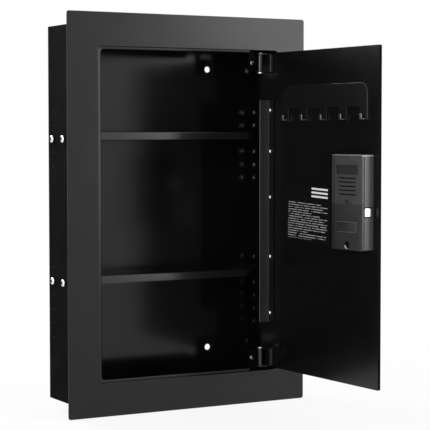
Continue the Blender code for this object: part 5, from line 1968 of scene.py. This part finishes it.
@dataclass
class LockWorks(Assembly):
    """What the lock case holds: motor, circuit board, cells and their contacts.

    A profile is a row of pairs of radius and height about the piece's own axis.
    """

    motor_start: Point = (-0.215, -0.0067, -0.0258)
    motor_profile: tuple[Corner, ...] = (
        (0.0, 0.0035), (0.00085, 0.0035), (0.0010, 0.0033), (0.0010, 0.0008), (0.0024, 0.0008),
        (0.0026, 0.0006), (0.0026, 0.0), (0.0044, 0.0), (0.00485, -0.0004), (0.0050, -0.0010),
        (0.0050, -0.0176), (0.004925, -0.01782), (0.004925, -0.0215), (0.0047, -0.0220), (0.0, -0.0220))
    board_low: Corner = (-0.254, -0.040)
    board_size: Corner = (0.023, 0.024)
    board_thickness: float = 0.0016
    board_corner: float = 0.0010
    chip_place: Corner = (0.0115, 0.012)
    chip_size: Corner = (0.008, 0.006)
    chip_height: float = 0.0014
    chip_corner: float = 0.0003
    chip_edge: float = 0.0002
    capacitor_columns: tuple[float, float] = (0.0050, 0.0180)
    capacitor_level: float = 0.0195
    capacitor_profile: tuple[Corner, ...] = (
        (0.0, 0.0050), (0.0017, 0.0050), (0.0020, 0.0047), (0.0020, 0.0009), (0.0018, 0.0007),
        (0.0020, 0.0005), (0.0020, 0.0), (0.0, 0.0))
    socket_low: Corner = (0.006, 0.001)
    socket_high: Corner = (0.017, 0.0055)
    socket_height: float = 0.004
    socket_wall: Point = (0.0008, 0.001, 0.0008)
    socket_rim: float = 0.0007
    small_edge: float = 0.0001
    socket_edge: float = 0.00015
    cells: int = 4
    cell_radius: float = 0.0070
    cell_half: float = 0.0245
    cell_profile: tuple[Corner, ...] = (
        (0.0, 0.0245), (0.0022, 0.0245), (0.0026, 0.0242), (0.0026, 0.0233), (0.00602, 0.0233),
        (0.00651, 0.0231), (0.00672, 0.0225), (0.0070, 0.0221), (0.0070, 0.0120), (0.0070, -0.0235),
        (0.00672, -0.0241), (0.0063, -0.0245), (0.0035, -0.0245), (0.0, -0.0245))
    cell_band: float = 0.0119
    cell_cap: float = 0.0223
    cell_base: float = -0.0241
    cell_first: float = 0.0285
    cell_pitch: float = 0.0146
    bay_centre: float = -0.22185
    bay_half: float = 0.0328
    wire: float = 0.0004
    wire_sides: int = 8
    coil: float = 0.0036
    coil_turns: int = 4
    coil_steps: int = 20
    coil_gap: float = 0.0007
    contact: Corner = (0.0050, 0.0055)
    contact_sheet: float = 0.0006
    contact_gap: float = 0.0004
    nub: Corner = (0.0030, 0.0018)
    nub_gap: float = 0.0002

    def build(self) -> None:
        """Motor, board and four cells with their contacts."""
        turn = Matrix.Rotation(-math.pi / 2, 4, "Y")
        place = DOOR_PLACE @ Matrix.Translation(self.motor_start) @ turn
        self.keep(turned(self.motor_profile, 48), "motor_can", Body.DOOR, ZINC, ["lock_motor"], place)
        self.build_board()
        for number in range(self.cells):
            self.build_cell(number)

    def build_board(self) -> None:
        """Circuit board with a chip, two capacitors and a socket, each seated on it."""
        base = INNER_FACE + SEAM
        top = base + self.board_thickness
        x, z = self.board_low
        board = rounded_plate(
            self.board_low, (x + self.board_size[0], z + self.board_size[1]), (base, top),
            self.board_corner, 3)
        self.keep(board, "circuit_laminate_board", Body.DOOR, LAMINATE, ["circuit_board"],
                  DOOR_PLACE, edge=self.small_edge)
        chip = pad((x + self.chip_place[0], z + self.chip_place[1]), self.chip_size,
                   (top, top + self.chip_height), self.chip_corner, 2)
        self.keep(chip, "circuit_chip", Body.DOOR, RESIN, place=DOOR_PLACE, edge=self.chip_edge,
                  slot="circuit_board")
        upright = Matrix.Rotation(-math.pi / 2, 4, "X")
        for number, across in enumerate(self.capacitor_columns, start=1):
            spot = Matrix.Translation((x + across, top, z + self.capacitor_level)) @ upright
            self.keep(turned(self.capacitor_profile, 32), f"capacitor_{number}", Body.DOOR, BAND,
                      place=DOOR_PLACE @ spot, slot="lock_motor")
        (left, low), (right, high) = self.socket_low, self.socket_high
        wall, floor, foot = self.socket_wall
        housing = block((x + left, top, z + low), (x + right, top + self.socket_height, z + high))
        well = block((x + left + wall, top + floor, z + low + foot),
                     (x + right - wall, top + PAST, z + high - self.socket_rim))
        self.keep(worked(housing, cuts=[well]), "board_socket", Body.DOOR, BAND, place=DOOR_PLACE,
                  edge=self.socket_edge, slot="circuit_board")

    def build_cell(self, number: int) -> None:
        """One cell with a sleeve, a pale band, its pole, and a spring and a plate at its ends.

        Args:
            number: the cell's number from zero.
        """
        level = self.cell_first + self.cell_pitch * number
        sign = 1 if number % 2 == 0 else -1
        y = INNER_FACE + SEAM + self.cell_radius
        turn = Matrix.Rotation(sign * math.pi / 2, 4, "Y")
        place = DOOR_PLACE @ Matrix.Translation((self.bay_centre, y, level)) @ turn
        node = f"battery_{number + 1}"
        piece = self.keep(
            turned(self.cell_profile, 40), f"cell_{number + 1}", Body.DOOR, SLEEVE, [node], place)
        centre, along = place.translation, (place.to_3x3() @ Vector((0, 0, 1))).normalized()
        self.dress(piece, BAND, lambda middle, _: (middle - centre).dot(along) > self.cell_band)
        self.dress(piece, ZINC, lambda middle, _: not (
            self.cell_base <= (middle - centre).dot(along) <= self.cell_cap))
        self.keep(self.spring(), f"contact_spring_{number + 1}", Body.DOOR, SPRING_STEEL,
                  place=DOOR_PLACE @ Matrix.Translation(
                      (self.bay_centre - sign * (self.bay_half - self.coil_gap), y, level)) @ turn,
                  slot=node)
        self.keep(self.pole_plate(level, sign, y), f"contact_plate_{number + 1}", Body.DOOR, BRASS,
                  place=DOOR_PLACE, edge=self.small_edge, slot=node)

    def spring(self) -> BMesh:
        """Coil spring that presses on a cell's flat end, wound up from height zero.

        Returns:
            Its mesh.
        """
        shape = bmesh.new()
        place = Matrix.Translation((self.coil, 0, 0)) @ Matrix.Rotation(math.pi / 2, 4, "X")
        ring = bmesh.ops.create_circle(
            shape, cap_ends=False, segments=self.wire_sides, radius=self.wire, matrix=place)
        steps = self.coil_steps * self.coil_turns
        run = self.bay_half - self.cell_half - 2 * self.coil_gap
        bmesh.ops.spin(shape, geom=ring["verts"] + list(shape.edges), cent=(0, 0, 0), axis=(0, 0, 1),
                       angle=math.tau * self.coil_turns, steps=steps, dvec=(0, 0, run / steps))
        ends = [edge for edge in shape.edges if edge.is_boundary]
        bmesh.ops.holes_fill(shape, edges=ends, sides=self.wire_sides)
        return shape

    def pole_plate(self, level: float, sign: int, y: float) -> BMesh:
        """Contact plate with a nub that a cell's pole meets.

        Args:
            level: height of the cell's axis.
            sign: one where its pole points away from the free edge, or else minus one.
            y: depth of its axis.

        Returns:
            Its mesh.
        """
        wall = self.bay_centre + sign * (self.bay_half - self.contact_gap)
        touch = self.bay_centre + sign * (self.cell_half + self.nub_gap)
        left, right = sorted((wall, wall - sign * self.contact_sheet))
        deep, tall = self.contact
        plate = block((left, y - deep, level - tall), (right, y + deep, level + tall))
        nub = drum((wall - sign * self.contact_sheet / 2, y, level), (touch, y, level), *self.nub, 24)
        return worked(plate, joins=[nub])


# Strokes of the two marks that aren't numbers: start and end of each, across and up.
MARK_STROKES: dict[str, tuple[tuple[Corner, Corner], ...]] = {
    "clear": (((-0.0017, -0.0017), (0.0017, 0.0017)), ((-0.0017, 0.0017), (0.0017, -0.0017))),
    "enter": (((-0.0020, 0.0), (-0.0006, -0.0016)), ((-0.0006, -0.0016), (0.0021, 0.0018)))}


@dataclass
class Keypad(Assembly):
    """Keypad housing on the door's outer face, its buttons, indicator lamps and key cylinder."""

    centre: float = KEY_PLACE[0]
    level: float = 0.0202
    size: Corner = (0.066, 0.118)
    depth: float = 0.009
    corner: float = 0.007
    rim: float = 0.0018
    edge: float = 0.00025
    pocket_depth: float = 0.0052
    button: Corner = (0.0125, 0.0095)
    button_depth: float = 0.0055
    button_corner: float = 0.0015
    button_rim: float = 0.0007
    button_gap: float = 0.0004
    floor_gap: float = 0.0013
    column_pitch: float = 0.0170
    row_pitch: float = 0.0135
    top_row: float = 0.0560
    names: tuple[tuple[str, ...], ...] = (
        ("1", "2", "3"), ("4", "5", "6"), ("7", "8", "9"), ("clear", "0", "enter"))
    stroke_half: float = 0.00035
    stroke_end: float = 0.0003
    mark_height: float = 0.0001
    mark_sunk: float = 0.00003
    figure_size: float = 0.0072
    figure_weight: float = 0.00012
    display: Corner = (0.030, 0.0060)
    display_level: float = 0.0700
    display_depth: float = 0.0008
    lens: Point = (0.0013, 0.0006, 0.0002)
    lens_pitch: float = 0.008
    plug: float = 0.0048
    collar: float = 0.0075
    collar_height: float = 0.0015
    collar_rim: float = 0.0005
    ring_groove: float = 0.0052
    ring_depth: float = 0.0003
    keyway: Point = (0.0006, 0.003, 0.0025)
    throat: Corner = (0.0032, 0.0016)
    throat_depth: float = 0.0006
    cutter: float = 0.001
    cam_back: float = 0.0085
    cam_thickness: float = 0.0018
    cam_arm: float = 0.0113
    cam_width: float = 0.0052
    cam_pin: float = 0.0015
    cam_pin_length: float = 0.0045
    cylinder_edge: float = 0.00012

    @property
    def front(self) -> float:
        """Depth coordinate of the housing's face."""
        return OUTER_FACE - SEAM - self.depth

    def places(self) -> list[tuple[str, float, float]]:
        """Name of each button, with its centre across the door and up.

        Returns:
            The names and the centres.
        """
        return [
            (name, self.centre + (column - 1) * self.column_pitch, self.top_row - row * self.row_pitch)
            for row, names in enumerate(self.names) for column, name in enumerate(names)]

    def build(self) -> None:
        """Housing, lamps, buttons with their marks, and the key cylinder."""
        self.build_housing()
        self.build_lamps()
        for name, x, z in self.places():
            self.build_button(name, x, z)
        self.build_cylinder()

    def build_housing(self) -> None:
        """Moulding with round edges, a pocket for each button and a recess for the lamps."""
        x, back = self.centre, OUTER_FACE - SEAM
        solid = pad((x, self.level), self.size, (self.front, back), self.corner, 8)
        round_edges(solid, edges_past(solid, 1, self.front, -1), self.rim, 5)
        pocket = (self.button[0] + 2 * self.button_gap, self.button[1] + 2 * self.button_gap)
        cuts = [pad((across, up), pocket, (self.front - PAST, self.front + self.pocket_depth),
                    self.button_corner, 5) for _, across, up in self.places()]
        cuts.append(pad((x, self.display_level), self.display,
                        (self.front - PAST, self.front + self.display_depth), self.button_corner, 5))
        cuts.append(
            rod(KEY_PLACE, (self.front - PAST, back + PAST), self.plug + self.button_gap, segments=48))
        self.keep(worked(solid, cuts=cuts), "keypad_moulding", Body.DOOR, PAD_PLASTIC,
                  ["keypad_housing"], DOOR_PLACE, edge=self.edge)

    def build_lamps(self) -> None:
        """Three small indicator lenses in the lamps' recess."""
        turn = Matrix.Rotation(math.pi / 2, 4, "X")
        for number, finish in enumerate((GREEN_LENS, AMBER_LENS, RED_LENS)):
            lens = turned(dome(*self.lens, 6) + [(0.0, 0.0)], 28)
            spot = Matrix.Translation(
                (self.centre + (number - 1) * self.lens_pitch, self.front + self.display_depth,
                 self.display_level))
            self.keep(lens, f"indicator_lens_{number + 1}", Body.DOOR, finish,
                      place=DOOR_PLACE @ spot @ turn, slot="keypad_housing")

    def build_button(self, name: str, x: float, z: float) -> None:
        """One button with a crowned face, and its printed mark.

        Args:
            name: the button's name.
            x: its centre across the door.
            z: its centre's height.
        """
        back = self.front + self.pocket_depth - self.floor_gap
        face = back - self.button_depth
        cap = pad((x, z), self.button, (face, back), self.button_corner, 5)
        round_edges(cap, edges_past(cap, 1, face, -1), self.button_rim, 4)
        body = f"button_{name}"
        self.keep(cap, f"{body}_cap", body, RUBBER, [body], DOOR_PLACE)
        mark = self.mark(name)
        for vert in mark.verts:
            across, up, height = vert.co
            vert.co = (x + across, face + self.mark_sunk - height, z + up)
        self.keep(mark, f"{body}_mark", body, INK, place=DOOR_PLACE, slot=body)

    def mark(self, name: str) -> BMesh:
        """A flat mark in its own XY plane: a number, a cross for clear or a tick for enter.

        Args:
            name: the button's name.

        Returns:
            The mark's mesh.
        """
        if name not in MARK_STROKES:
            return self.figure(name)
        bars = []
        for start, end in MARK_STROKES[name]:
            bar = block((-self.stroke_end, -self.stroke_half, 0.0),
                        (math.dist(start, end) + self.stroke_end, self.stroke_half, self.mark_height))
            turn = Matrix.Rotation(math.atan2(end[1] - start[1], end[0] - start[0]), 4, "Z")
            bmesh.ops.transform(bar, matrix=Matrix.Translation((*start, 0.0)) @ turn, verts=bar.verts)
            bars.append(bar)
        return worked(bars[0], joins=bars[1:])

    def figure(self, number: str) -> BMesh:
        """A number as a flat shape.

        Args:
            number: the number.

        Returns:
            Its mesh.
        """
        text = bpy.data.curves.new("number", "FONT")
        text.body = number
        text.size = self.figure_size
        text.align_x = "CENTER"
        text.align_y = "CENTER"
        text.extrude = self.mark_height / 2
        text.offset = self.figure_weight
        text.resolution_u = 4
        shape = filled(text)
        bmesh.ops.remove_doubles(shape, verts=shape.verts, dist=MERGE)
        bmesh.ops.translate(shape, verts=shape.verts, vec=(0, 0, self.mark_height / 2))
        return shape

    def build_cylinder(self) -> None:
        """Key cylinder with a collar, a keyway, and the cam that throws the bolt."""
        x, z = KEY_PLACE
        seat = self.front - self.button_gap
        nose = seat - self.collar_height
        cam = INNER_FACE + self.cam_back
        sheet = (cam - SEAM, cam - SEAM + self.cam_thickness)
        plug = rod(KEY_PLACE, (seat - self.collar_height / 2, cam), self.plug, segments=48)
        collar = rod(KEY_PLACE, (nose, seat), self.collar, segments=48)
        round_edges(collar, edges_past(collar, 1, nose, -1), self.collar_rim, 4)
        hub = rod(KEY_PLACE, sheet, self.plug, segments=48)
        share = math.sqrt(0.5)
        tip_x, tip_z = x + self.cam_arm * share, z + self.cam_arm * share
        half = self.cam_width / 2 * share
        arm = bmesh.new()
        plate_into(arm, Plane.XZ, [(x + half, z - half), (tip_x + half, tip_z - half),
                                   (tip_x - half, tip_z + half), (x - half, z + half)], *sheet)
        toe = rod((tip_x, tip_z), sheet, self.cam_width / 2)
        pin = rod((tip_x, tip_z), (cam, cam + self.cam_pin_length), self.cam_pin, segments=24)
        core = rod(KEY_PLACE, (nose - 2 * self.cutter, nose + 2 * self.cutter), self.plug, segments=48)
        ring = worked(
            rod(KEY_PLACE, (nose - self.cutter, nose + self.ring_depth), self.ring_groove, segments=48),
            cuts=[core])
        key_half, key_depth, key_rise = self.keyway
        keyway = block(
            (x - key_half, nose - PAST, z - key_rise), (x + key_half, nose + key_depth, z + key_rise))
        throat = rod(KEY_PLACE, (nose - self.cutter, nose + self.throat_depth), *self.throat)
        solid = worked(plug, joins=[collar, hub, arm, toe, pin], cuts=[keyway, ring, throat])
        self.keep(solid, "key_cylinder_turned", Body.KEY, CHROME, ["key_cylinder"], DOOR_PLACE,
                  edge=self.cylinder_edge)


# ---- Studio


@dataclass(frozen=True)
class SoftLamp:
    """A square soft lamp that looks at the safe."""

    name: str
    place: Point
    size: float
    power: float

    def build(self) -> None:
        """Hang the lamp and turn it to the origin."""
        data = bpy.data.lights.new(self.name, "AREA")
        data.shape = "SQUARE"
        data.size = self.size
        data.energy = self.power
        lamp = bpy.data.objects.new(self.name, data)
        lamp.location = self.place
        lamp.rotation_euler = (-Vector(self.place)).to_track_quat("-Z", "Y").to_euler()
        bpy.context.scene.collection.objects.link(lamp)


@dataclass
class Studio:
    """Floor, lamps, world and camera."""

    lens: float = 132.014
    sensor: float = 36.0
    sight: float = 60.0
    camera_place: Point = (-1.06259, -2.07199, 0.11302)
    yaw: float = 29.234
    pitch: float = 2.958
    roll: float = 0.026
    floor_level: float = -0.2802
    floor_size: float = 14.0
    floor_colour: Point = (0.88, 0.88, 0.88)
    floor_cloud: float = 1.2
    floor_white: float = 0.88
    floor_fade: Corner = (0.7, 1.9)
    world_light: float = 0.65
    lamps: tuple[SoftLamp, ...] = (
        SoftLamp("key_lamp", (2.06, -2.08, 0.62), 1.80, 43.0),
        SoftLamp("fill_lamp", (-2.5, -1.15, 0.62), 1.5, 26.0),
        SoftLamp("rim_lamp", (-0.7, 2.2, 1.5), 1.0, 45.0))

    def build(self) -> None:
        """Set up the studio."""
        self.build_floor()
        self.build_world()
        for lamp in self.lamps:
            lamp.build()
        self.build_camera()
        bpy.context.scene.view_settings.view_transform = "Standard"

    def seen_white(self, tree: NodeTree) -> Socket:
        """One for rays from the camera, off gloss or through glass, or else zero.

        Args:
            tree: tree that it is added to.

        Returns:
            The value's socket.
        """
        path = tree.nodes.new("ShaderNodeLightPath")
        value = path.outputs["Is Camera Ray"]
        for name in ("Is Glossy Ray", "Is Transmission Ray"):
            value = reckoned(tree, Sum.LARGER, value, path.outputs[name])
        return value

    def build_floor(self) -> None:
        """A plain pale floor that takes the shadow."""
        shape = bmesh.new()
        bmesh.ops.create_grid(
            shape, x_segments=1, y_segments=1, size=self.floor_size / 2,
            matrix=Matrix.Translation((0.0, 0.0, self.floor_level)))
        floor = as_object(shape, "floor")
        recipe = Recipe("pale_floor")
        recipe.plain(Roughness=0.9, Specular_IOR_Level=0.1)
        shade = recipe.spread(recipe.noise(self.floor_cloud), 0.0, 1.0)
        tone = recipe.blend(shade, tint(self.floor_colour, 0.99), self.floor_colour)
        recipe.paint(tone, "Base Color")
        tree = recipe.tree
        away = tree.nodes.new("ShaderNodeVectorMath")
        away.operation = "LENGTH"
        recipe.link(recipe.coords.outputs["Object"], away.inputs[0])
        fade = recipe.spread(away.outputs["Value"], self.floor_white, 1.0, *self.floor_fade)
        mix = tree.nodes.new("ShaderNodeMixShader")
        recipe.link(overlap(tree, self.seen_white(tree), fade), mix.inputs[0])
        recipe.link(recipe.shader.outputs["BSDF"], mix.inputs[1])
        recipe.link(tree.nodes.new("ShaderNodeEmission").outputs["Emission"], mix.inputs[2])
        recipe.link(mix.outputs["Shader"], tree.nodes["Material Output"].inputs["Surface"])
        floor.data.materials.append(recipe.material)

    def build_world(self) -> None:
        """White where it is seen, and softer as a light."""
        world = bpy.data.worlds.new("studio_world")
        bpy.context.scene.world = world
        world.use_nodes = True
        tree = world.node_tree
        tree.nodes.clear()
        out = tree.nodes.new("ShaderNodeOutputWorld")
        glow = tree.nodes.new("ShaderNodeBackground")
        glow.inputs["Color"].default_value = (1.0, 1.0, 1.0, 1.0)
        strength = tree.nodes.new("ShaderNodeMapRange")
        strength.inputs["To Min"].default_value = self.world_light
        strength.inputs["To Max"].default_value = 1.0
        tree.links.new(self.seen_white(tree), strength.inputs["Value"])
        tree.links.new(strength.outputs["Result"], glow.inputs["Strength"])
        tree.links.new(glow.outputs["Background"], out.inputs["Surface"])

    def build_camera(self) -> None:
        """The camera at the photograph's place."""
        data = bpy.data.cameras.new("camera")
        data.sensor_fit = "HORIZONTAL"
        data.sensor_width = self.sensor
        data.lens = self.lens
        data.clip_end = self.sight
        camera = bpy.data.objects.new("camera", data)
        yaw, pitch = math.radians(self.yaw), math.radians(self.pitch)
        look = Vector(
            (math.sin(yaw) * math.cos(pitch), math.cos(yaw) * math.cos(pitch), -math.sin(pitch)))
        turn = look.to_track_quat("-Z", "Y").to_matrix().to_4x4()
        roll = Matrix.Rotation(math.radians(-self.roll), 4, "Z")
        camera.matrix_world = Matrix.Translation(self.camera_place) @ turn @ roll
        bpy.context.scene.collection.objects.link(camera)
        bpy.context.scene.camera = camera


def main() -> None:
    """Build the sub-assemblies in order, then the studio."""
    logging.basicConfig(level=logging.INFO, format="%(name)s: %(message)s")
    assemblies: list[Assembly] = [
        Casing(), TrimFrame(), DoorStop(), Shelf(name="upper_shelf", top=0.1155),
        Shelf(name="lower_shelf", top=-0.0855), ShelfScrews(), Hinge(name="upper", level=0.216, sign=1),
        Hinge(name="lower", level=-0.2165, sign=-1), Door(), KeyRack(), LockCase(), LockWorks(),
        Keypad()]
    for assembly in assemblies:
        assembly.build()
        log.info("%s: %d pieces", type(assembly).__name__, len(assembly.made))
    Studio().build()


if __name__ == "__main__":
    main()
